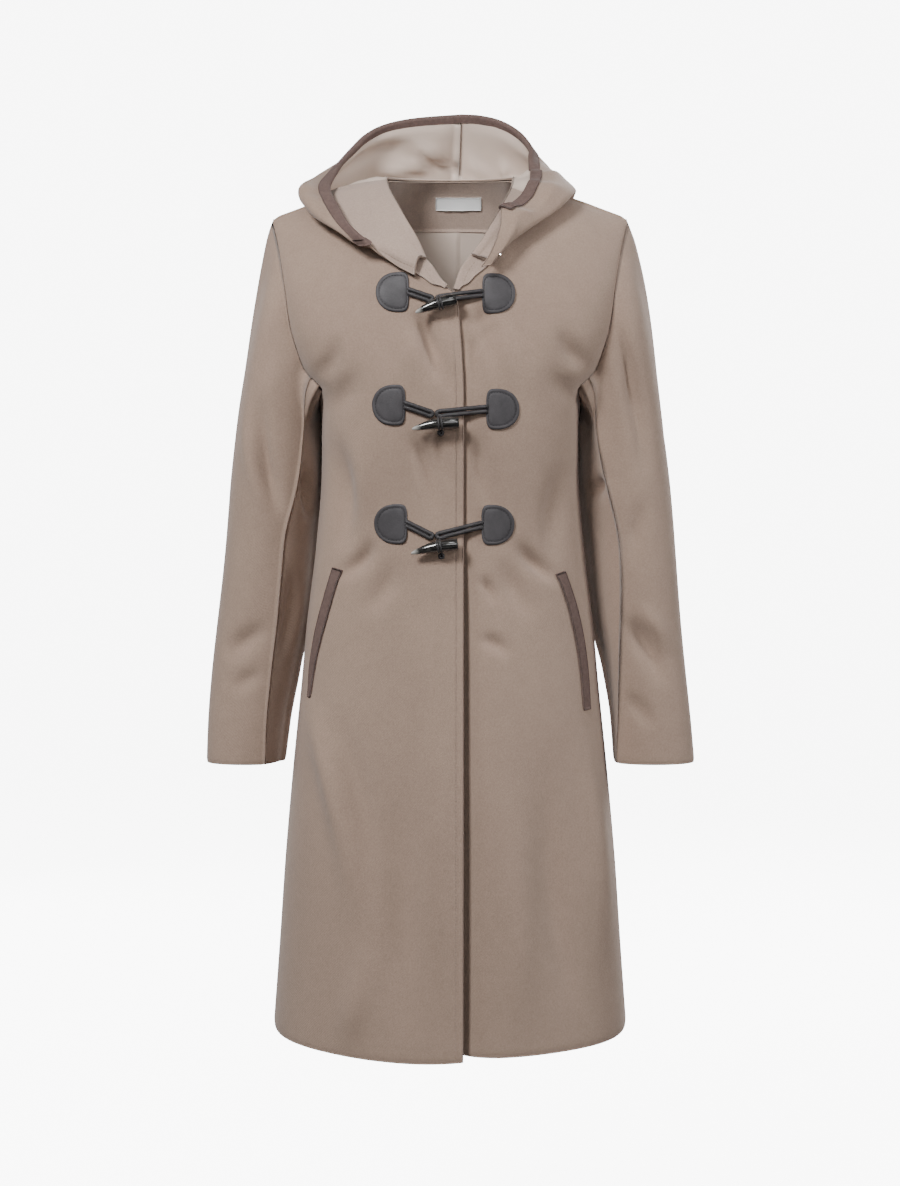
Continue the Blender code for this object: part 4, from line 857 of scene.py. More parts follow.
# How deep and how wide the left front sinks beside the right front's edge, by height
UNDER_HEIGHT = (-970, -900, -700, -500, -440, -380, -250, -120, -75)
UNDER_DEPTH = (9, 12, 14, 14, 12, 7, 5.5, 5.5, 0)
UNDER_WIDTH = (9, 10, 11, 11, 9, 5.5, 5, 5, 5)
SATIN_SLACK = 4.4  # how far the satin hangs off the wool and how deep its creases are
FRONT_GAIN = 3.8  # the tables of creases give these parts of their depth
BACK_GAIN = 2.6
SLEEVE_GAIN = 3.2
EDGE_STITCH = 7.6 * MM  # from an edge to the line of stitches beside it
EDGE_SINK = 0.42 * MM  # how deep that line lies on the right front
SEWN_SINK = 0.05 * MM  # the same on the label
SLEEVE_SEAM = 0.24 * MM  # half the open line of a pressed sleeve seam
SLIVER_HEIGHT, SLIVER_TALL, SLIVER_REACH = -262 * MM, 30 * MM, 7 * MM  # where the sleeve closes on the side
SLIVER_FRONT, SLIVER_FADE = -5 * MM, 20 * MM  # depth from which on it does, and how softly
NECK_RISE = 3.2 * MM  # how far the neck facing reaches up over the hood's seam
FACING_LIFT = 0.5 * MM  # how far it lies inside the lining's level
SATIN_TUCK = 2.5 * MM  # how far the back lining runs in under it
LAPEL_REACH = (-0.12, 1.20)  # the lapel's facing runs in under the hood's corner and down behind the toggle
LAPEL_POINT = 0.40  # share of its width there
LAPEL_STITCH, LAPEL_SINK = EDGE_STITCH * 0.8, 0.1 * MM  # its stitches: distance from its fold, and depth
WELT_TAPER = {"right": (1.0, 0.98, 0.66, 0.30), "left": (1.0, 1.0, 0.90, 0.78)}
HOOD_SINK = 0.2 * MM  # depth of the hood's stitches
HOOD_ROLL = 6.5 * MM  # the right side of the hood sinks behind its rolled face edge
HOOD_ROLL_FROM, HOOD_ROLL_TO = 9 * MM, 46 * MM  # distances from that edge
HOOD_ROLL_LOW, HOOD_ROLL_IN = -45 * MM, -40 * MM  # height and x where it begins
CORNER_SOFT = 6 * MM  # reach of the rounding at a shoulder's corner, and how far the corner moves
CORNER_DROP = np.array([-1.2, 0.0, -1.9]) * MM

# ---------------------------------------------------------------- materials

class Nodes:
    """A short way to write a node tree."""

    def __init__(self, name):
        self.material = bpy.data.materials.new(name)
        self.material.use_nodes = True
        self.tree = self.material.node_tree
        self.shader = self.tree.nodes["Principled BSDF"]

    def feed(self, socket, value):
        """Gives a socket a constant, or the output of another node."""
        if isinstance(value, bpy.types.NodeSocket):
            self.tree.links.new(value, socket)
        else:
            socket.default_value = value

    def add(self, kind, sockets=None, **settings):
        node = self.tree.nodes.new(kind)
        for key, value in settings.items():
            setattr(node, key, value)
        for key, value in (sockets or {}).items():
            self.feed(node.inputs[key], value)
        return node

    def where(self):
        return self.add("ShaderNodeTexCoord").outputs["Object"]

    def weave(self):
        return self.add("ShaderNodeUVMap", uv_map="weave").outputs["UV"]

    def stretched(self, vector, scale):
        return self.add("ShaderNodeMapping", {"Vector": vector, "Scale": scale}).outputs["Vector"]

    def noise(self, vector, scale, detail=3.0, roughness=0.55, distortion=0.0):
        sockets = {"Vector": vector, "Scale": scale, "Detail": detail, "Roughness": roughness}
        return self.add("ShaderNodeTexNoise", {**sockets, "Distortion": distortion}).outputs["Fac"]

    def ramp(self, value, *stops):
        node = self.add("ShaderNodeValToRGB", {"Fac": value})
        for element, (place, colour) in zip(node.color_ramp.elements, stops):
            element.position = place
            element.color = (*colour, 1.0)
        return node.outputs["Color"]

    def tone(self, value, colour, *stops):
        """Two shades of a colour, each given by its place on the ramp and its share of the colour."""
        return self.ramp(value, *((place, scaled(colour, share)) for place, share in stops))

    def mix(self, factor, a, b):
        return self.add("ShaderNodeMix", {0: factor, 6: a, 7: b}, data_type="RGBA").outputs[2]

    def maths(self, operation, *values):
        return self.add("ShaderNodeMath", dict(enumerate(values)), operation=operation).outputs[0]

    def bump(self, height, strength, distance, **normal):
        sockets = {"Height": height, "Strength": strength, "Distance": distance, **normal}
        return self.add("ShaderNodeBump", sockets).outputs["Normal"]

    def finish(self, colour, roughness, **others):
        """Gives the shader its inputs; an underscore in a name stands for a space."""
        for key, value in {"Base_Color": colour, "Roughness": roughness, **others}.items():
            self.feed(self.shader.inputs[key.replace("_", " ")], value)
        return self.material


def scaled(colour, factor):
    return tuple(channel * factor for channel in colour)


def woollen(name, colour):
    """Milled wool: a short nap over a fine twill, with a little unevenness in the dye."""
    n = Nodes(name)
    where = n.where()
    broad = n.noise(where, 9.0, 2.0)
    patch = n.noise(where, 70.0, 3.0)
    fibre = n.noise(where, 1500.0, 2.0, 0.7)
    fleck = n.noise(where, 520.0, 3.0, 0.65)
    weave = {"Vector": n.weave(), "Scale": 210.0, "Distortion": 1.2, "Detail": 1.0}
    twill = n.add("ShaderNodeTexWave", weave, wave_type="BANDS", bands_direction="DIAGONAL").outputs["Fac"]
    tone = n.tone(broad, colour, (0.30, 0.94), (0.70, 1.06))
    tone = n.mix(0.30, tone, n.tone(patch, colour, (0.30, 0.88), (0.72, 1.13)))
    tone = n.mix(0.28, tone, n.tone(fleck, colour, (0.32, 0.66), (0.68, 1.34)))
    height = n.maths("ADD", n.maths("MULTIPLY", twill, 0.35), fibre)
    normal = n.bump(height, 0.35, 0.0006, Normal=n.bump(patch, 0.10, 0.002))
    return n.finish(tone, 0.92, Normal=normal, Specular_IOR_Level=0.18, Sheen_Weight=0.22,
                    Sheen_Roughness=0.55)


def satin(name, colour):
    """Woven satin: fine threads that shine along their length."""
    n = Nodes(name)
    broad = n.noise(n.where(), 22.0, 2.0)
    thread = n.noise(n.stretched(n.weave(), (2600.0, 500.0, 1.0)), 1.0, 1.0)
    tone = n.tone(broad, colour, (0.3, 0.96), (0.7, 1.04))
    tone = n.mix(0.10, tone, n.tone(thread, colour, (0.3, 0.8), (0.7, 1.2)))
    rough = n.maths("MULTIPLY_ADD", thread, 0.10, 0.38)
    normal = n.bump(thread, 0.12, 0.0003)
    return n.finish(tone, rough, Normal=normal, Specular_IOR_Level=0.45, Sheen_Weight=0.15,
                    Sheen_Roughness=0.4)


def suede(name, colour):
    """A brushed nap in clouds of lighter and darker."""
    n = Nodes(name)
    where = n.where()
    nap = n.noise(where, 260.0, 4.0, 0.6, 0.4)
    fibre = n.noise(where, 1900.0, 2.0)
    broad = n.noise(where, 45.0, 2.0)
    tone = n.tone(nap, colour, (0.28, 0.78), (0.72, 1.25))
    tone = n.mix(0.35, tone, n.tone(broad, colour, (0.3, 0.85), (0.7, 1.15)))
    normal = n.bump(n.maths("ADD", n.maths("MULTIPLY", nap, 0.6), fibre), 0.35, 0.0005)
    return n.finish(tone, 0.95, Normal=normal, Specular_IOR_Level=0.12, Sheen_Weight=0.08,
                    Sheen_Roughness=0.45)


def leather(name, colour, shine, pebble=420.0, strength=0.30):
    """Grained leather: `shine` is its mean roughness and `pebble` the scale of its grain."""
    n = Nodes(name)
    where = n.where()
    cells = n.add("ShaderNodeTexVoronoi", {"Vector": where, "Scale": pebble}, feature="DISTANCE_TO_EDGE")
    fine = n.noise(where, 900.0, 3.0)
    broad = n.noise(where, 38.0, 3.0, 0.6, 0.3)
    crease = n.maths("MULTIPLY", cells.outputs["Distance"], 6.0)
    tone = n.tone(broad, colour, (0.30, 0.80), (0.72, 1.30))
    tone = n.mix(0.2, tone, n.tone(fine, colour, (0.3, 0.7), (0.7, 1.25)))
    rough = n.ramp(broad, (0.3, (shine + 0.08,) * 3), (0.7, (shine - 0.06,) * 3))
    height = n.maths("ADD", n.maths("MINIMUM", crease, 1.0), n.maths("MULTIPLY", fine, 0.5))
    return n.finish(tone, rough, Normal=n.bump(height, strength, 0.00025), Specular_IOR_Level=0.34)


def horn(name, colour, tip):
    """Polished horn: nearly black, with grey streaks along it and a pale tip."""
    n = Nodes(name)
    share = n.add("ShaderNodeAttribute", attribute_name="along").outputs["Fac"]
    streak = n.noise(n.stretched(n.where(), (60.0, 420.0, 420.0)), 1.0, 4.0, 0.6, 0.5)
    body = n.ramp(streak, (0.45, colour), (0.78, scaled(tip, 0.22)))
    place = n.maths("ADD", share, n.maths("MULTIPLY", streak, 0.10))
    tone = n.mix(n.ramp(place, (0.88, (0.0,) * 3), (1.02, (1.0,) * 3)), body, (*tip, 1.0))
    normal = n.bump(streak, 0.05, 0.0004)
    return n.finish(tone, 0.16, Normal=normal, Coat_Weight=0.6, Coat_Roughness=0.06, Specular_IOR_Level=0.55)


def woven_label(name, colour):
    n = Nodes(name)
    thread = n.noise(n.stretched(n.weave(), (1500.0, 3200.0, 1.0)), 1.0, 1.0)
    tone = n.tone(thread, colour, (0.3, 0.95), (0.7, 1.03))
    return n.finish(tone, 0.6, Normal=n.bump(thread, 0.2, 0.0002), Sheen_Weight=0.1)


def metal(name, colour):
    n = Nodes(name)
    fine = n.noise(n.where(), 1400.0, 2.0)
    tone = n.tone(fine, colour, (0.3, 0.93), (0.7, 1.05))
    return n.finish(tone, 0.22, Normal=n.bump(fine, 0.04, 0.0002), Metallic=1.0)


def studio_white(name, colour):
    n = Nodes(name)
    tone = n.tone(n.noise(n.where(), 0.6, 1.0), colour, (0.3, 0.997), (0.7, 1.0))
    return n.finish(tone, 0.9, Specular_IOR_Level=0.0, Emission_Strength=STUDIO_GLOW,
                    Emission_Color=(1.0, 1.0, 1.0, 1.0))


LOOKS = {
    # how the material is made, its linear colour, and what else that maker takes
    "wool": (woollen, (0.335, 0.238, 0.185)),
    # the same wool as the outside, made lighter: painted light on the neck, hood and lapel facings, which the
    # lamps reach less
    "wool_inside": (woollen, (0.42, 0.315, 0.26)),
    "satin": (satin, (0.66, 0.54, 0.46)),
    "suede_trim": (suede, (0.135, 0.092, 0.081)),
    "leather": (leather, (0.062, 0.058, 0.062), 0.56),
    "leather_cord": (leather, (0.045, 0.042, 0.044), 0.40, 700.0, 0.5),
    "horn": (horn, (0.010, 0.009, 0.009), (0.42, 0.41, 0.38)),
    "label_cloth": (woven_label, (0.92, 0.92, 0.915)),
    "stud_metal": (metal, (0.78, 0.77, 0.75)),
    "thread": (woollen, (0.300, 0.225, 0.185)),
    "thread_trim": (woollen, (0.085, 0.056, 0.050)),
    "thread_pale": (woollen, (0.70, 0.70, 0.68)),
    "thread_dark": (leather, (0.030, 0.028, 0.030), 0.5),
    "studio": (studio_white, (0.92, 0.92, 0.92)),
}
MATERIALS = {name: make(name, *values) for name, (make, *values) in LOOKS.items()}


# ---------------------------------------------------------------- finer surfaces

def spaced_rows(values, pitch):
    """Fractional row numbers, about `pitch` millimetres apart, along a column of coarse heights."""
    order = np.arange(len(values))
    fine = np.linspace(0, len(values) - 1, 40 * len(values))
    along = np.concatenate([[0], np.cumsum(np.abs(np.diff(smooth(order, values, fine))))])
    count = int(round(along[-1] / pitch)) + 1
    return np.interp(np.linspace(0, along[-1], count), along, fine)


def edge_xs(side, heights):
    return np.array([edge_point(side, height) for height in heights])


def front_fine(side):
    """Points and outward normals of a front, from the hem up and from the front edge outwards."""
    sign = SIGN[side]
    on_top = side == "right"
    table = front_rows((HEM_TOP_FRONT if on_top else HEM_UNDER_FRONT) / MM)
    inner = [row[0] for row in table]
    outer = [row[1] for row in table]
    places = near_edges(spaced_rows(outer, PITCH), outer)
    order = np.arange(len(table))
    z_in = smooth(order, inner, places) * MM
    z_out = smooth(order, outer, places) * MM
    z_in[-1], z_out[-1] = inner[-1] * MM, outer[-1] * MM
    x_in = edge_xs(side, z_in / MM) * MM
    x_out = sign * np.array([float(arm_or_side(z, -1)) for z in z_out])
    half_in = from_table(BODY_HEIGHT, BODY_HALF_WIDTH, z_in)
    half_out = from_table(BODY_HEIGHT, BODY_HALF_WIDTH, z_out)
    start = np.arcsin(np.clip(x_in / half_in, -1, 1))[:, None]
    stop = np.arcsin(np.clip(x_out / half_out, -1, 1))[:, None]
    length = np.abs(stop - start) * (half_in[:, None] + MEAN_DEPTH) / 2
    near = np.array(EDGE_STEPS) * MM / length
    rest = np.linspace(0, 1, FRONT_COLUMNS)[1:] * (1 - near[:, -1:]) + near[:, -1:]
    share = np.concatenate([near, rest], axis=1)
    middle = z_in[:, None] + (z_out - z_in)[:, None] * share
    x = from_table(BODY_HEIGHT, BODY_HALF_WIDTH, middle) * np.sin(start + (stop - start) * share)
    x[:, 0] = x_in
    x[:, -1] = x_out
    z = z_in[:, None] + (z_out - z_in)[:, None] * (x - x_in[:, None]) / (x_out - x_in)[:, None]
    crown = ease((z_out - UNDERARM) / (SHOULDER_END - UNDERARM))[:, None]
    z = z + crown * np.vectorize(shoulder_bow)(x) - hem_bow(z_in[:, None], share)
    y = body_y(x, z, -1)
    if not on_top:
        y = y + tuck_depth(x, z)
    return np.stack([x, y, z], axis=-1), body_normals(x, z, -1)


def near_edges(places, heights):
    """Adds finer rows near the first one, where the hem is turned up."""
    extra = np.array(HEM_STEPS) / abs(heights[1] - heights[0])
    return np.concatenate([extra, places[places > extra[-1] + 0.02]])


def back_surface(z_out, share):
    """Points of the back at heights of its outer edge (rows) and shares of its half width (columns)."""
    x_out = np.array([float(arm_or_side(z, 1)) for z in z_out])[:, None]
    share = np.asarray(share)[None, :]
    rise = ease((z_out - UNDERARM) / (SHOULDER_END - UNDERARM))[:, None]
    x = x_out * share
    top = np.vectorize(top_height)(SHOULDER_POINT_X * share) - SHOULDER_END
    hem = (HEM_BACK - HEM_SIDE) * (1 - share**2) * ease((-700 - z_out[:, None] / MM) / 250.0)
    z = z_out[:, None] + top * rise + hem
    return np.stack([x, body_y(x, z, 1), z], axis=-1)


def back_stretch(z_out, reach, columns):
    """Points and outward normals of the back at some heights, over a share of its width."""
    grid = back_surface(z_out, np.sin(np.linspace(-math.asin(reach), math.asin(reach), columns)))
    return grid, body_normals(grid[..., 0], grid[..., 2], 1)


def back_fine():
    heights = [HEM_SIDE / MM, -885, -812, -735, -655, -575, -500, -430, -368, -312, -266, *ARM_ROWS]
    places = near_edges(spaced_rows(heights, PITCH), heights)
    z_out = smooth(np.arange(len(heights)), heights, places) * MM
    z_out[-1] = SHOULDER_END
    return back_stretch(z_out, 1.0, BACK_COLUMNS)


def sleeve_fine(side, piece):
    """Points and outward normals of a sleeve piece, from the armhole down and from seam to seam."""
    sign = SIGN[side]
    coarse = np.array(sleeve_turns(piece))
    coarse_share = (coarse - coarse[0]) / (coarse[-1] - coarse[0])
    count = SLEEVE_COLUMNS[piece]
    even = np.linspace(0, 1, count)
    at_start = smooth(np.arange(len(coarse)), coarse_share, even * (len(coarse) - 1))
    starts = coarse[0] + (coarse[-1] - coarse[0]) * at_start
    heights = np.linspace(SHOULDER_END, UNDERARM, 200)
    ring_turns, ring_points = armhole(sign, heights, heights[-2:0:-1])
    whole = np.concatenate([ring_turns - 360, ring_turns, ring_turns + 360])
    ring = straight_read(starts, whole, np.tile(ring_points, (3, 1)))
    angle = np.radians(starts)
    out, more_out, forward, fall = CAP_FALL
    sideways = sign * (out + more_out * np.sin(angle) ** 2)
    leave = unit(np.stack([sideways, -forward * np.sin(angle), 0 * angle - fall], axis=1))
    cuff = len(SLEEVE_RING)
    beside_cuff = cuff - np.array(HEM_STEPS) / CUFF_ROW
    places = np.concatenate([np.linspace(0, 1, 34)[:-1], np.linspace(1, cuff, 88)[:-1], beside_cuff])
    grid = []
    for along in np.unique(np.round(places, 5)):
        mix = float(ease(along / 2.0))
        share = at_start + (even - at_start) * mix
        first, last = seam_turns(side, piece, along, (coarse[0], coarse[-1]))
        turn = first + (last - first) * share
        if along >= 1:
            grid.append(sleeve_section(side, along - 1, turn))
            continue
        end = sleeve_section(side, 0, turn)
        below = sleeve_section(side, 0.4, turn)
        down = unit(below - end)
        span = np.linalg.norm(end - ring, axis=1, keepdims=True)
        bend_a = ring + leave * span * CAP_BEND
        bend_b = end - down * span * CAP_BEND
        t, left = along, 1 - along
        grid.append(ring * left**3 + bend_a * 3 * t * left**2 + bend_b * 3 * t * t * left + end * t**3)
    grid = np.array(grid)
    outward = (grid - np.array([sign * 0.205, 0.005, 0.0])) * np.array([1, 1, 0])
    normals = grid_normals(grid, outward)
    return grid, normals


def spline_rows(grid, places):
    """The grid read at fractional row numbers."""
    order = np.arange(len(grid))
    read = curve_read(places, order, grid.reshape(len(grid), -1))
    return read.reshape(len(places), *grid.shape[1:])


def spline_grid(grid, rows, columns):
    return spline_rows(spline_rows(grid, rows).swapaxes(0, 1), columns).swapaxes(0, 1)


def hood_fine(side):
    """Points, outward normals and station of each row of one half of the hood."""
    grid = hood_grid(side)
    seam = np.interp(FACING_STATION[side], HOOD_STATIONS, np.arange(len(grid)))
    rows = np.unique(np.append(np.linspace(0, len(grid) - 1, HOOD_FINE_ROWS), seam))
    columns = np.linspace(0, grid.shape[1] - 1, HOOD_FINE_COLUMNS)
    fine = spline_grid(grid, rows, columns)
    stations = np.interp(rows, np.arange(len(grid)), HOOD_STATIONS)
    normals = grid_normals(fine, fine - np.array([0.0, 40 * MM, 60 * MM]))
    normals[-1, :, 0] = 0.0
    normals[-1] = unit(normals[-1])
    return fine, normals, stations


# ---------------------------------------------------------------- cloth shells

def edge_dip(grid, seams, depth):
    """How far the cloth sinks beside its sewn edges: a grid of metres."""
    dip = np.zeros(grid.shape[:2])
    away = from_borders(grid)
    for seam in seams:
        dip = np.maximum(dip, depth * np.exp(-((away[seam] / SEAM_WIDE) ** 1.2)))
    return dip


def perimeter(rows, cols):
    """Index pairs round the border of a grid, once."""
    loop = [(0, c) for c in range(cols)]
    loop += [(r, cols - 1) for r in range(1, rows)]
    loop += [(rows - 1, c) for c in range(cols - 2, -1, -1)]
    loop += [(r, 0) for r in range(rows - 2, 0, -1)]
    return np.array(loop)


def shell(name, outer, inner, look):
    """A closed cloth shell between two grids whose border is round. Both grids run the same way."""
    rows, cols = outer.shape[:2]
    turning = np.cross(np.gradient(outer, axis=0), np.gradient(outer, axis=1))
    if np.sum(turning * (outer - inner)) < 0:
        outer, inner = outer[:, ::-1], inner[:, ::-1]
    count = rows * cols
    index = np.arange(count).reshape(rows, cols)
    a, b = index[:-1, :-1].ravel(), index[1:, :-1].ravel()
    c, d = index[1:, 1:].ravel(), index[:-1, 1:].ravel()
    faces = [np.stack([a, b, c, d], axis=1), np.stack([a, d, c, b], axis=1) + count]
    loop = perimeter(rows, cols)
    r, k = loop[:, 0], loop[:, 1]
    middle = (outer + inner) / 2
    inside_r = np.clip(r, 1, rows - 2)
    inside_k = np.clip(k, 1, cols - 2)
    outward = middle[r, k] - middle[inside_r, inside_k]
    thick = (outer - inner)[r, k] / 2
    half = np.linalg.norm(thick, axis=1, keepdims=True)
    up = thick / np.maximum(half, 1e-9)
    outward = unit(outward - up * np.sum(outward * up, axis=1, keepdims=True))
    points = [outer.reshape(-1, 3), inner.reshape(-1, 3)]
    rings = [index[r, k]]
    base = 2 * count
    for step in range(1, BORDER_ROUNDS + 1):
        angle = math.pi / 2 - math.pi * step / (BORDER_ROUNDS + 1)
        points.append(middle[r, k] + thick * math.sin(angle) + outward * half * math.cos(angle) * 0.9)
        rings.append(base + np.arange(len(loop)))
        base += len(loop)
    rings.append(index[r, k] + count)
    for above, below in zip(rings[:-1], rings[1:]):
        faces.append(np.stack([np.roll(above, -1), above, below, np.roll(below, -1)], axis=1))
    uv = metric_uv(outer)
    made = mesh_object(name, np.concatenate(points), np.concatenate(faces), look)
    add_uv(made, np.concatenate([uv.reshape(-1, 2)] * 2 + [uv[r, k]] * BORDER_ROUNDS))
    return made


def metric_uv(grid):
    """Distances across and along the cloth in metres, as a weave needs them."""
    return np.stack([run(grid, 1), run(grid, 0)], axis=2)


def mesh_object(name, points, faces, look, closed=True):
    mesh = bpy.data.meshes.new(name)
    mesh.from_pydata([tuple(p) for p in points], [], [tuple(int(i) for i in f) for f in faces])
    mesh.validate()
    work = bmesh.new()
    work.from_mesh(mesh)
    if closed and work.calc_volume(signed=True) < 0:
        bmesh.ops.reverse_faces(work, faces=work.faces)
        work.to_mesh(mesh)
    work.free()
    mesh.shade_smooth()
    mesh.materials.append(MATERIALS[look])
    return placed(name, mesh)


def add_uv(made, uv):
    layer = made.data.uv_layers.new(name="weave")
    loops = np.zeros(len(made.data.loops), np.int32)
    made.data.loops.foreach_get("vertex_index", loops)
    layer.data.foreach_set("uv", uv[loops].astype(np.float32).ravel())


# ---------------------------------------------------------------- folds

def creased(x, z, folds):
    """Total height of the creases at points given in metres: troughs are negative."""
    x, z = x / MM, z / MM
    total = np.zeros(np.broadcast(x, z).shape)
    for x0, z0, x1, z1, bow, width, height, peak in folds:
        length = math.hypot(x1 - x0, z1 - z0)
        way_x, way_z = (x1 - x0) / length, (z1 - z0) / length
        place = ((x - x0) * way_x + (z - z0) * way_z) / length
        within = np.clip(place, 0, 1)
        away = (z - z0) * way_x - (x - x0) * way_z - bow * 4 * within * (1 - within)
        rising = ease((place + CREASE_RUN_OUT) / (peak + CREASE_RUN_OUT))
        falling = ease((1 + CREASE_RUN_OUT - place) / (1 + CREASE_RUN_OUT - peak))
        total += height * np.minimum(rising, falling) * bell(away, width)
    return total * MM


def uneven(x, z, phase):
    """A slow, shallow unevenness that keeps cloth from looking turned on a lathe."""
    x, z = x / MM, z / MM
    return sum(np.sin(x / wide + z / tall + turn * phase) * high for wide, tall, turn, high in UNEVEN) * MM


def front_shift(x, z):
    """How far the folds move the fronts at a point, both fronts alike."""
    x, z = np.asarray(x, float), np.asarray(z, float)
    below_neck = ease((-0.055 - z) / 0.06)
    return (creased(x, z, FRONT_FOLDS) * FRONT_GAIN + uneven(x, z, 0.4)) * below_neck


def fade_at(grid, borders, reach):
    """1 inside a grid and 0 at the named borders."""
    away = from_borders(grid)
    fade = np.ones(grid.shape[:2])
    for border in borders:
        fade = np.minimum(fade, ease(away[border] / reach))
    return fade


def under_trough(x, z):
    """How far the left front sinks where it runs in under the right front's edge."""
    heights = np.linspace(-1000, -60, 190)
    beside = (x - np.interp(z / MM, heights, edge_xs("right", heights)) * MM) / MM
    deep = smooth(UNDER_HEIGHT, UNDER_DEPTH, z / MM) * MM
    wide = smooth(UNDER_HEIGHT, UNDER_WIDTH, z / MM)
    return np.maximum(deep, 0.0) * bell(np.maximum(beside + 1.0, 0.0), wide)


def front_folds(side, grid):
    x, z = grid[..., 0], grid[..., 2]
    fold = front_shift(x, z) * fade_at(grid, ("last",), NECK_FADE) * fade_at(grid, ("end",), SIDE_FADE)
    if side == "right":
        from_edge = run(grid, 1)
        pressed = groove(from_edge - EDGE_STITCH, STITCH_GROOVE) + groove(from_edge, EDGE_ROLL)
        fold = fold - pressed * ease((-75 * MM - z) / (20 * MM))
    else:
        fold = fold - under_trough(x, z)
    return fold - groove(run(grid, 0), HEM_PRESS)


def back_shift(x, z):
    """How far the folds move the back at a point."""
    return (creased(x, z, BACK_FOLDS) * BACK_GAIN + uneven(x, z, 2.3)) * ease((-0.03 - z) / 0.06)


def back_folds(grid):
    x, z = grid[..., 0], grid[..., 2]
    fold = back_shift(x, z) * fade_at(grid, ("last", "start", "end"), BACK_FADE)
    return fold - groove(run(grid, 0), HEM_PRESS)


def sleeve_folds(side, grid, normals):
    x, z = grid[..., 0], grid[..., 2]
    ahead = ease((0.25 - normals[..., 1]) / 0.5)
    fold = creased(x, z, SLEEVE_FRONT_FOLDS[side]) * ahead
    fold = fold + creased(abs(x), z, SLEEVE_BACK_FOLDS[side]) * (1 - ahead)
    fold = fold + uneven(grid[..., 1] * 1.3, z, 1.1 if side == "right" else 3.0)
    fold = fold * SLEEVE_GAIN * fade_at(grid, ("first",), SLEEVE_HEAD_FADE)
    fold = fold * fade_at(grid, ("start", "end"), SLEEVE_SEAM_FADE)
    clear = np.abs(x) - side_x(grid[..., 1], np.minimum(z, UNDERARM)) - SLEEVE_REST
    fold = fold * ease(clear / SLEEVE_CLEAR)
    beside = bell(z - SLIVER_HEIGHT, SLIVER_TALL) * ease(-np.sign(x) * normals[..., 0])
    beside = beside * ease((grid[..., 1] - SLIVER_FRONT) / SLIVER_FADE)
    fold = fold + np.clip(clear, 0.0, SLIVER_REACH) * 0.9 * beside
    return fold - groove(from_borders(grid)["last"], CUFF_PRESS)


def hood_roll(side, grid):
    """How far the hood's right side sinks, away from the face, behind its rolled edge."""
    place = (from_borders(grid)["end"] - HOOD_ROLL_FROM) / (HOOD_ROLL_TO - HOOD_ROLL_FROM)
    free = ease((grid[..., 2] - HOOD_ROLL_LOW) / (30 * MM)) * ease((HOOD_ROLL_IN - grid[..., 0]) / (40 * MM))
    return HOOD_ROLL * np.sin(math.pi * np.clip(place, 0.0, 1.0)) ** 2 * free * (side == "right")


def soft_corner(grid, column):
    """Takes the point off a shoulder's corner, which the sleeve's head rounds over."""
    corner = grid[-1, column]
    near = bell(np.linalg.norm(grid - corner, axis=2), CORNER_SOFT)
    return grid + near[..., None] * CORNER_DROP * np.array([np.sign(corner[0]), 1.0, 1.0])


def hood_wool_folds(side, grid):
    """The outside of the hood: shallow folds, none at its seams or its face edge."""
    x, z = grid[..., 0], grid[..., 2]
    rear = ease((grid[..., 1] - 0.02) / 0.06)
    fold = creased(x, z, HOOD_BACK_FOLDS) * rear + uneven(x, z + grid[..., 1], 4.0) * 0.8
    fade = fade_at(grid, ("last", "start", "end"), HOOD_FADE)
    return np.minimum(fold, HOOD_RISE) * fade + hood_roll(side, grid)


def hood_satin_folds(grid):
    """Satin hangs a little off the wool, and its creases go back towards it: never past it."""
    x, z = grid[..., 0], grid[..., 2]
    slack = fade_at(grid, ("first", "last", "start", "end"), SATIN_FADE) * SATIN_SLACK
    crease = creased(x, z, SATIN_FOLDS) + uneven(x * 1.7, z * 1.7, 5.2) * 0.8
    return np.minimum(0.0, (crease - HOOD_RISE) * slack)


def edge_groove(grid):
    """A shallow groove under the line of stitches beside the last column: the hood's front edge."""
    return groove(from_borders(grid)["end"] - EDGE_STITCH, HOOD_GROOVE)


# ---------------------------------------------------------------- fastenings, welts and stitching

def front_points(x, z, side, lift):
    """Points a height over the front's cloth, folds and all, and the outward normals there."""
    x, z = np.broadcast_arrays(np.asarray(x, float), np.asarray(z, float))
    y = body_y(x, z, -1) + (0.0 if side == "right" else tuck_depth(x, z))
    normals = body_normals(x, z, -1)
    points = np.stack([x, y, z], axis=-1)
    height = front_shift(x, z) + lift
    return points + normals * np.asarray(height)[..., None], normals


def patch_reach(turn):
    """Distance of a patch's edge from its tallest place, by direction; 0 is away from the front edge."""
    across, up = np.cos(turn), np.sin(turn)
    wide = np.where(across > 0, PATCH_WIDTH * 0.66, PATCH_WIDTH * 0.34)
    power = np.where(across > 0, 2.15, 4.2)
    return (np.abs(across / wide) ** power + np.abs(up / (PATCH_HEIGHT / 2)) ** power) ** (-1 / power)


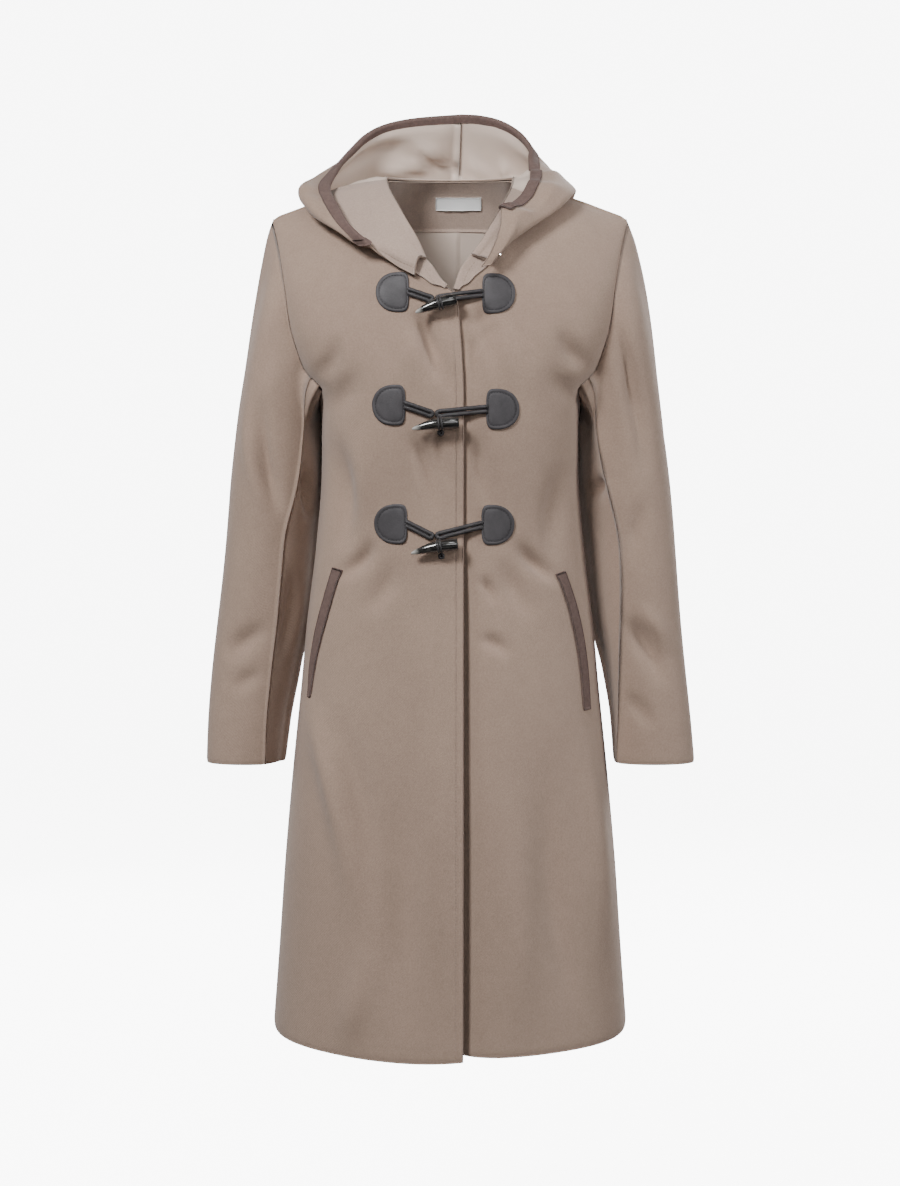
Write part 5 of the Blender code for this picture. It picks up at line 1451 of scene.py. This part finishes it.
def make_patch(side, number, centre_x, centre_z):
    sign = SIGN[side]
    tallest = centre_x - sign * PATCH_WIDTH * 0.16
    turns = np.linspace(0, 2 * math.pi, 96, endpoint=False)
    reach = patch_reach(turns)
    rings = []
    for share, lift in PATCH_RINGS:
        x = tallest + sign * reach * share * np.cos(turns)
        z = centre_z + reach * share * np.sin(turns)
        bend = PATCH_BEND * np.sin(number * 2.1 + turns * 2) * share**3
        points, _ = front_points(x, z, side, PATCH_GAP + LEATHER * lift + bend * (0.5 + 0.5 * (lift > 0)))
        rings.append(points)
    name = f"toggle_patch_{side}_{number}"
    dress(ringed(name, rings, "leather"), "leather", name)
    stitch_turns = np.linspace(0, 2 * math.pi, 700)
    line = patch_reach(stitch_turns) * STITCH_SHARE
    path, normals = front_points(
        tallest + sign * line * np.cos(stitch_turns), centre_z + line * np.sin(stitch_turns), side,
        PATCH_GAP + LEATHER * 0.98,
    )
    sew(f"{name}_stitching", path, normals, "thread_dark")


def skin(rings, around, base=0):
    """Four-sided faces between rings of points that follow one another; base is the first point's number."""
    starts = range(base, base + (rings - 1) * around, around)
    pairs = [(start + k, start + (k + 1) % around) for start in starts for k in range(around)]
    return [(a, b, b + around, a + around) for a, b in pairs]


def ringed(name, rings, look):
    """A closed skin through rings of points; the first and last rings are filled with a middle point."""
    count = len(rings[0])
    points = np.concatenate([*rings, [np.mean(rings[0], axis=0)], [np.mean(rings[-1], axis=0)]])
    faces = skin(len(rings), count)
    first, last = len(rings) * count, len(rings) * count + 1
    base = (len(rings) - 1) * count
    for k in range(count):
        faces.append((first, (k + 1) % count, k))
        faces.append((last, base + k, base + (k + 1) % count))
    return mesh_object(name, points, faces, look)


def sew(name, path, normals, look):
    """A row of sewn stitches as one mesh: each is a small thread that dips into the cloth at both ends."""
    length, space, radius = np.array(STITCHES[look]) * MM
    along = path_length(path)
    count = max(1, int(along[-1] / (length + space)))
    pitch = along[-1] / count
    shares = np.array([0.0, 0.16, 0.5, 0.84, 1.0])
    dips = np.array([-1.5, 0.25, 0.6, 0.25, -1.5]) * radius
    turns = np.linspace(0, 2 * math.pi, 5, endpoint=False)
    points, faces = [], []
    for k in range(count):
        places = k * pitch + (pitch - space) * shares
        middle = straight_read(places, along, path)
        up = unit(straight_read(places, along, normals))
        side = np.cross(unit(np.gradient(middle, axis=0)), up)
        faces += skin(5, 5, len(points) * 5)
        points += [
            circle(middle[at] + up[at] * dips[at], side[at], up[at], radius, turns) for at in range(5)
        ]
    dress(mesh_object(name, np.concatenate(points), faces, look, closed=False), look)


def sew_on(name, surfaces, distance, offset, way):
    """Stitches at one distance from the edge of wrapped surfaces; way is 1 if they face outwards, or -1."""
    path, ahead = (
        np.array([surface(distance, offset + step) for surface in surfaces]) for step in (0.0, way * MM)
    )
    sew(name, path, ahead - path, "thread")


def circle(centre, across, up, radius, turns):
    return centre + (np.outer(np.cos(turns), across) + np.outer(np.sin(turns), up)) * radius


def round_tube(name, path, radii, look, sides, flat_start=False):
    """A smooth tube through points with a radius at each, and rounded ends."""
    path = np.asarray(path, float)
    radii = np.broadcast_to(np.asarray(radii, float), (len(path),))
    way = unit(np.gradient(path, axis=0))
    side = np.cross(way[0], (0.0, -1.0, 0.0))
    rings, shares = [], []
    along = path_length(path)
    turns = np.linspace(0, 2 * math.pi, sides, endpoint=False)
    for k, (point, ahead, radius) in enumerate(zip(path, way, radii)):
        side = unit(side - ahead * np.dot(side, ahead))
        up = np.cross(ahead, side)
        ring = circle(point, side, up, radius, turns)
        caps = []
        if k == 0 and not flat_start:
            caps = [(0.45, -0.80), (0.82, -0.45)]
        if k == 0 and flat_start:
            caps = [(0.55, 0.10), (0.80, -0.02), (0.95, -0.06)]
        if k == len(path) - 1:
            caps = [(0.82, 0.45), (0.45, 0.80)]
        cap_rings = [point + (ring - point) * scale + ahead * radius * push for scale, push in caps]
        order = [*cap_rings, ring] if k == 0 else [ring, *cap_rings]
        rings += order
        shares += [along[k] / along[-1]] * len(order)
    made = ringed(name, rings, look)
    layer = made.data.attributes.new("along", "FLOAT", "POINT")
    values = np.repeat(shares, sides)
    layer.data.foreach_set("value", np.concatenate([values, [0.0, 1.0]]).astype(np.float32))
    return made


def fine_path(points, count):
    """A path's smooth curve, at even steps."""
    along = path_length(points)
    return curve_read(np.linspace(0, along[-1], count), along, points)


def shifted_path(points):
    """The path moved with the folds of the front under it."""
    points = np.asarray(points, float)
    normals = body_normals(points[:, 0], points[:, 2], -1)
    return points + normals * front_shift(points[:, 0], points[:, 2])[:, None]


def make_fastenings():
    for number, values in enumerate(FASTENINGS, start=1):
        row = {name: value * MM for name, value in zip(FASTENING_COLUMNS, values)}
        for side in ("right", "left"):
            sign = SIGN[side]
            centre_x, centre_z = row[f"{side}_x"], row[f"{side}_z"]
            make_patch(side, number, centre_x, centre_z)
            start_x = centre_x - sign * (PATCH_WIDTH / 2 + CORD_CLEAR)
            end_x = CORD_END_RIGHT if side == "right" else CORD_END_LEFT
            path = shifted_path(cord_path(side, start_x, centre_z, end_x, row["cord_z"]))
            name = f"toggle_cord_{side}_{number}"
            made = round_tube(name, fine_path(path, 90), CORD_RADIUS * 1.04, "leather_cord", 14)
            dress(made, "leather_cord", name)
        make_toggle(number, row)
    for number, (x, z) in KNOTS.items():
        make_knot(number, x * MM, z * MM)


def make_toggle(number, row):
    height = 2 * CORD_RADIUS + CORD_LIFT + GAP
    shares = np.linspace(0, 1, 40)
    x = row["wide_x"] + (row["tip_x"] - row["wide_x"]) * shares
    z = row["wide_z"] + (row["tip_z"] - row["wide_z"]) * shares + TOGGLE_BOW * np.sin(math.pi * shares)
    y = body_y(x, z, -1)
    normals = body_normals(x, z, -1)
    path = np.stack([x, y, z], axis=1) + normals * (height + TOGGLE_RADIUS * 1.04)
    order = np.linspace(0, 1, len(TOGGLE_FINE))
    radii = smooth(order, TOGGLE_FINE, shares) * TOGGLE_RADIUS
    name = f"toggle_{number}"
    dress(round_tube(name, path, radii, "horn", 36, flat_start=True), "horn", name)
    waist = int(len(path) * TOGGLE_WAIST)
    ahead = unit(path[waist + 1] - path[waist - 1])
    up = normals[waist]
    across = np.cross(ahead, up)
    for k, offset in enumerate((-LASHING_APART, LASHING_APART)):
        centre = path[waist] + ahead * offset
        loop = circle(centre, across, up, radii[waist] + LASHING_OUT, np.linspace(0, 2 * math.pi, 40))
        dress(round_tube(f"{name}_lashing_{k + 1}", loop, LASHING_RADIUS, "leather_cord", 10), "leather_cord")


def make_knot(number, x, z):
    centre = np.array([x, float(body_y(x, z, -1)), z])
    normal = body_normals(np.array([x]), np.array([z]), -1)[0]
    centre = centre + normal * (KNOT_RADIUS + 2 * GAP)
    name = f"toggle_knot_{number}"
    side = unit(np.cross(normal, (0.0, 0.0, 1.0)))
    up = np.cross(side, normal)
    turns = np.linspace(0, 4 * math.pi, 120)
    out = 2.0 + 0.5 * np.cos(turns)
    path = centre + (
        np.outer(np.cos(turns * 1.5) * out, side)
        + np.outer(np.sin(turns * 1.5) * out, up)
        + np.outer(np.sin(turns) * 1.3, normal)
    ) * MM
    dress(round_tube(name, path, KNOT_CORD, "leather_cord", 10), "leather_cord", name)


def make_welts():
    for side, line in WELTS.items():
        fine = fine_path(np.array(line, float) * MM, 60)
        way = unit(np.gradient(fine, axis=0))
        across = np.stack([-way[:, 1], way[:, 0]], axis=1)
        shares = np.linspace(-0.5, 0.5, 9)
        fallen = (fine[:, 1].max() - fine[:, 1]) / np.ptp(fine[:, 1])
        wide = smooth((0.0, 0.35, 0.75, 1.0), WELT_TAPER[side], fallen) * WELT_WIDTH
        across = across * wide[:, None]
        x = fine[:, 0][:, None] + across[:, 0][:, None] * shares
        z = fine[:, 1][:, None] + across[:, 1][:, None] * shares
        crown = (1 - (2 * np.abs(shares)) ** 3)[None, :] * WELT_CROWN
        outer, _ = front_points(x, z, "right", GAP + WELT_THICK + crown)
        inner, _ = front_points(x, z, "right", GAP)
        name = f"pocket_welt_{side}"
        dress(shell(name, outer, inner, "suede_trim"), "suede_trim", name)
        for k, share in enumerate((-0.40, 0.40)):
            path, normals = front_points(
                fine[:, 0] + across[:, 0] * share, fine[:, 1] + across[:, 1] * share,
                "right", GAP + WELT_THICK + WELT_THREAD,
            )
            sew(f"{name}_stitching_{k + 1}", path, normals, "thread_trim")


def make_label():
    """A blank woven label, sewn at its ends and curling a little along its lower edge."""
    x = np.linspace(*LABEL_X, 46) * MM
    z = np.linspace(*LABEL_Z, 16) * MM
    grid_x, grid_z = np.meshgrid(x, z)
    y = body_y(grid_x, grid_z, 1)
    normals = body_normals(grid_x, grid_z, 1)
    under = -WOOL - GAP - LINING - LABEL_GAP
    share = (grid_z - LABEL_Z[1] * MM) / ((LABEL_Z[0] - LABEL_Z[1]) * MM)
    across = (grid_x / MM - LABEL_X[0]) / (LABEL_X[1] - LABEL_X[0])
    curl = -LABEL_CURL * (1 - share) ** 2 * np.sin(math.pi * across) ** 2
    wave = LABEL_WAVE * np.sin(grid_x / MM / 3.1) * (1 - share) ** 2
    top = np.stack([grid_x, y, grid_z], axis=-1) + normals * (under + curl + wave)[..., None]
    made = shell("label", top, top - normals * LABEL_THICK, "label_cloth")
    dress(made, "label_cloth", "label")
    for k, column in enumerate((1, -2)):
        path = top[1:-1, column] - normals[1:-1, column] * (LABEL_THICK + SEWN_SINK)
        sew(f"label_stitching_{k + 1}", path, -normals[1:-1, column], "thread_pale")


def make_edge_stitching():
    """The sewn line beside the right front's edge, from the lapel to the hem, sunk in its groove."""
    z = np.linspace(-84, -955, 500) * MM
    x = edge_xs("right", z / MM) * MM - EDGE_STITCH
    path, normals = front_points(x, z, "right", 0.0)
    sew("front_edge_stitching", path - normals * EDGE_SINK, normals, "thread")


# ---------------------------------------------------------------- the coat

def dress(made, look, *nodes):
    """Puts a finished piece on the coat's body in place of its solids."""
    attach(made, "root")
    if nodes:
        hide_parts(*nodes)
    return made


def cloth(name, grid, normals, fold, low, high, look, seams=(), dip=SEAM_DIP):
    """A cloth shell on a surface: moved by its folds, sunk beside its seams, and round at its border."""
    shift = fold - edge_dip(grid, seams, dip)
    middle = grid + normals * shift[..., None]
    made = shell(name, middle + normals * high, middle + normals * low, look)
    return dress(made, look, name)


def wool(name, grid, normals, fold, *seams):
    cloth(name, grid, normals, fold, -WOOL, 0.0, "wool", seams)


def make_body():
    for side in ("right", "left"):
        grid, normals = front_fine(side)
        fold = front_folds(side, grid)
        grid = soft_corner(grid, -1)
        wool(f"front_{side}", trimmed(grid, last=SEAM, end=SEAM), normals, fold, "last", "end")
    grid, normals = back_fine()
    grid = soft_corner(soft_corner(grid, 0), -1)
    centre = grid.shape[1] // 2
    for side, columns in (("right", slice(0, centre + 1)), ("left", slice(centre, None))):
        half = grid[:, columns]
        wool(f"back_{side}", trimmed(half, last=SEAM, start=SEAM, end=SEAM), normals[:, columns],
             back_folds(half), "last", "start", "end")


def make_neck():
    outer = -WOOL - GAP
    grid, normals = back_stretch(np.linspace(ARM_ROWS[-3], ARM_ROWS[-1], 14) * MM, 0.61, 64)
    rise = unit(grid[-1] - grid[-2]) * NECK_RISE
    grid = np.concatenate([grid, [grid[-1] + rise / 2, grid[-1] + rise]])
    normals = np.concatenate([normals, normals[-1:], normals[-1:]])
    lifted = np.minimum(back_shift(grid[..., 0], grid[..., 2]), 0.0) - FACING_LIFT
    cloth("neck_facing", grid, normals, lifted, outer - LINING, outer, "wool_inside")
    grid, normals = back_stretch(np.linspace(-266, ARM_ROWS[-3], 50) * MM, 0.92, 180)
    across = grid[..., 0] / MM - PLEAT_X
    pleat = np.where(across < 0, np.exp(across / PLEAT_WIDE), 0.0) * PLEAT_DEEP
    pleat = np.maximum(pleat + uneven(grid[..., 0] * 2, grid[..., 2] * 2, 1.7), 0.0) * MM
    tuck = unit(grid[-1] - grid[-2]) * SATIN_TUCK
    grid = np.concatenate([grid, [grid[-1] + tuck]])
    normals = np.concatenate([normals, normals[-1:]])
    pleat = np.concatenate([pleat, pleat[-1:]]) * fade_at(grid, ("last",), PLEAT_FADE)
    pleat = pleat - np.minimum(back_shift(grid[..., 0], grid[..., 2]), 0.0)
    cloth("lining_back", grid, normals, -pleat, outer - LINING + FACING_LIFT, outer + FACING_LIFT, "satin")


def make_lapels():
    for side in ("right", "left"):
        low, high = LAPEL_RANGE[side]
        places = []
        for share in np.linspace(*LAPEL_REACH, 34):
            point = LAPEL_POINT + (1 - LAPEL_POINT) * float(ease((share - LAPEL_REACH[0]) / 0.35))
            width = float(smooth(LAPEL_SHARE, LAPEL_WIDTH[side], min(max(share, 0.0), 1.0))) * MM * point
            places.append((lapel_surface(side, low + (high - low) * share), width, LAPEL_INSIDE * MM))
        wrapped(f"front_facing_{side}", places, LAPEL_THICK, LAPEL_GAP, WOOL, "wool_inside")
        surfaces = [lapel_surface(side, low + (high - low) * share) for share in np.linspace(0.06, 0.94, 40)]
        top = LAPEL_GAP + LAPEL_THICK - LAPEL_SINK
        sew_on(f"lapel_stitching_{side}", surfaces, LAPEL_STITCH, top, 1)


def wrapped(name, places, thick, gap, stack, look, node=True):
    """Cloth folded round an edge, with a round fold and round borders."""
    near, far = [], []
    below = -stack - gap
    turn = (stack + 2 * gap) / 2
    for surface, outer, inner in places:
        path = [(outer * t, gap) for t in np.linspace(1, 0, 8)[:-1]]
        for angle in np.linspace(math.pi / 2, -math.pi / 2, 9):
            path.append((-turn * math.cos(angle), gap - turn + turn * math.sin(angle)))
        path += [(inner * t, below) for t in np.linspace(0, 1, 8)[1:]]
        near_row = np.array([surface(a, b) for a, b in path])
        path = np.array(path)
        way = np.gradient(path, axis=0)
        side = unit(np.stack([way[:, 1], -way[:, 0]], axis=1))
        if side[0][1] < 0:
            side = -side
        far_row = np.array([surface(*(p + q * thick)) for p, q in zip(path, side)])
        near.append(near_row)
        far.append(far_row)
    made = shell(name, np.array(far), np.array(near), look)
    return dress(made, look, *([name] if node else []))


def make_sleeves():
    for side in ("right", "left"):
        for piece in ("upper", "under"):
            grid, normals = sleeve_fine(side, piece)
            fold = sleeve_folds(side, grid, normals)
            grid = trimmed(grid, first=SEAM, start=SLEEVE_SEAM, end=SLEEVE_SEAM)
            wool(f"sleeve_{side}_{piece}", grid, normals, fold, "first")


def make_hood():
    outer = -WOOL - GAP - HOOD_EXTRA_GAP
    edge_places = []
    for side in ("right", "left"):
        grid, normals, stations = hood_fine(side)
        wool(f"hood_{side}", trimmed(grid, last=SEAM), normals, hood_wool_folds(side, grid), "last")
        front = stations < FACING_STATION[side] + 1e-6
        rear = stations > FACING_STATION[side] - 1e-6

        def surfaces(chosen):
            return [profile_surface(grid[index], normals[index]) for index in np.flatnonzero(chosen)]

        facing = trimmed(grid[front], last=SEAM)
        cloth(f"hood_facing_{side}", facing, normals[front], edge_groove(facing) + hood_roll(side, facing),
              outer - LINING, outer, "wool_inside")
        stitched = surfaces(stations < BINDING_STATION[side] - 0.2)
        sew_on(f"hood_stitching_{side}", stitched, EDGE_STITCH, outer - LINING + HOOD_SINK, -1)
        near_end = np.abs(stations - BINDING_STATION[side] - BINDING_END_AT) < BINDING_END_HALF
        ends = [(surface, BINDING_WIDTH + BINDING_OVER, BINDING_INSIDE + BINDING_OVER)
                for surface in surfaces(near_end)]
        wrapped(f"binding_end_{side}", ends, BINDING, BINDING_GAP + BINDING + 0.1 * MM, LINING - outer,
                "suede_trim", node=False)
        satin_grid = trimmed(grid[rear], first=SEAM, last=SEAM)
        cloth(f"hood_lining_{side}", satin_grid, normals[rear],
              hood_satin_folds(satin_grid) + hood_roll(side, satin_grid), outer - LINING, outer, "satin",
              ("last",), SEAM_DIP * 0.6)
        places = [(surface, BINDING_WIDTH, BINDING_INSIDE)
                  for surface in surfaces(stations >= BINDING_STATION[side])]
        edge_places += places if side == "right" else places[-2::-1]
    wrapped("hood_binding", edge_places, BINDING, BINDING_GAP, LINING - outer, "suede_trim")


def placed(name, data):
    """A new object in the scene."""
    made = bpy.data.objects.new(name, data)
    bpy.context.scene.collection.objects.link(made)
    return made


def make_camera_and_studio():
    camera = placed("camera", bpy.data.cameras.new("camera"))
    camera.data.sensor_fit = "VERTICAL"
    camera.data.sensor_height = SENSOR
    camera.data.lens = SENSOR / 2 / math.tan(VIEW_ANGLE / 2)
    camera.location = (0.0, -CAMERA_AWAY, CAMERA_HEIGHT)
    camera.rotation_euler = (math.pi / 2 - math.atan2(CAMERA_HEIGHT - AIM_HEIGHT, CAMERA_AWAY), 0.0, 0.0)
    bpy.context.scene.camera = camera
    floor = sweep_backdrop()
    world = bpy.data.worlds.new("studio")
    bpy.context.scene.world = world
    world.use_nodes = True
    sky = world.node_tree.nodes["Background"]
    sky.inputs["Color"].default_value = (1.0, 1.0, 1.0, 1.0)
    sky.inputs["Strength"].default_value = WORLD_STRENGTH
    for name, place, aim, size, power in LIGHTS:
        light = bpy.data.lights.new(name, "AREA")
        light.shape = "RECTANGLE"
        light.size, light.size_y = size
        light.energy = power
        lamp = placed(name, light)
        lamp.location = place
        x, y, z = np.subtract(aim, place)
        lamp.rotation_euler = (math.atan2(math.hypot(x, y), -z), 0.0, -math.atan2(x, y))


def sweep_backdrop():
    """A pale round floor that turns up into a wall, seen by the camera alone, so it casts no light."""
    profile = [
        (STUDIO_RADIUS + STUDIO_BEND * (math.sin(angle) - 1), FLOOR + STUDIO_BEND * (1 - math.cos(angle)))
        for angle in np.linspace(0, math.pi / 2, 12)
    ]
    profile += [(STUDIO_RADIUS, FLOOR + STUDIO_WALL), (MM, FLOOR + STUDIO_TOP)]
    turns = np.linspace(0, 2 * math.pi, 64, endpoint=False)
    rings = [circle((0.0, 0.0, height), (1, 0, 0), (0, 1, 0), radius, turns) for radius, height in profile]
    made = ringed("studio_floor", rings, "studio")
    for ray in ("diffuse", "glossy", "transmission", "shadow"):
        setattr(made, f"visible_{ray}", False)
    return made


make_camera_and_studio()
make_body()
make_neck()
make_lapels()
make_sleeves()
make_hood()
make_fastenings()
make_welts()
make_label()
make_edge_stitching()

for name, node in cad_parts.items():
    if not node.hide_render:
        look = next((key for part, key in NODE_LOOKS if name.startswith(part)), "wool")
        node.data.materials.clear()
        node.data.materials.append(MATERIALS[look])
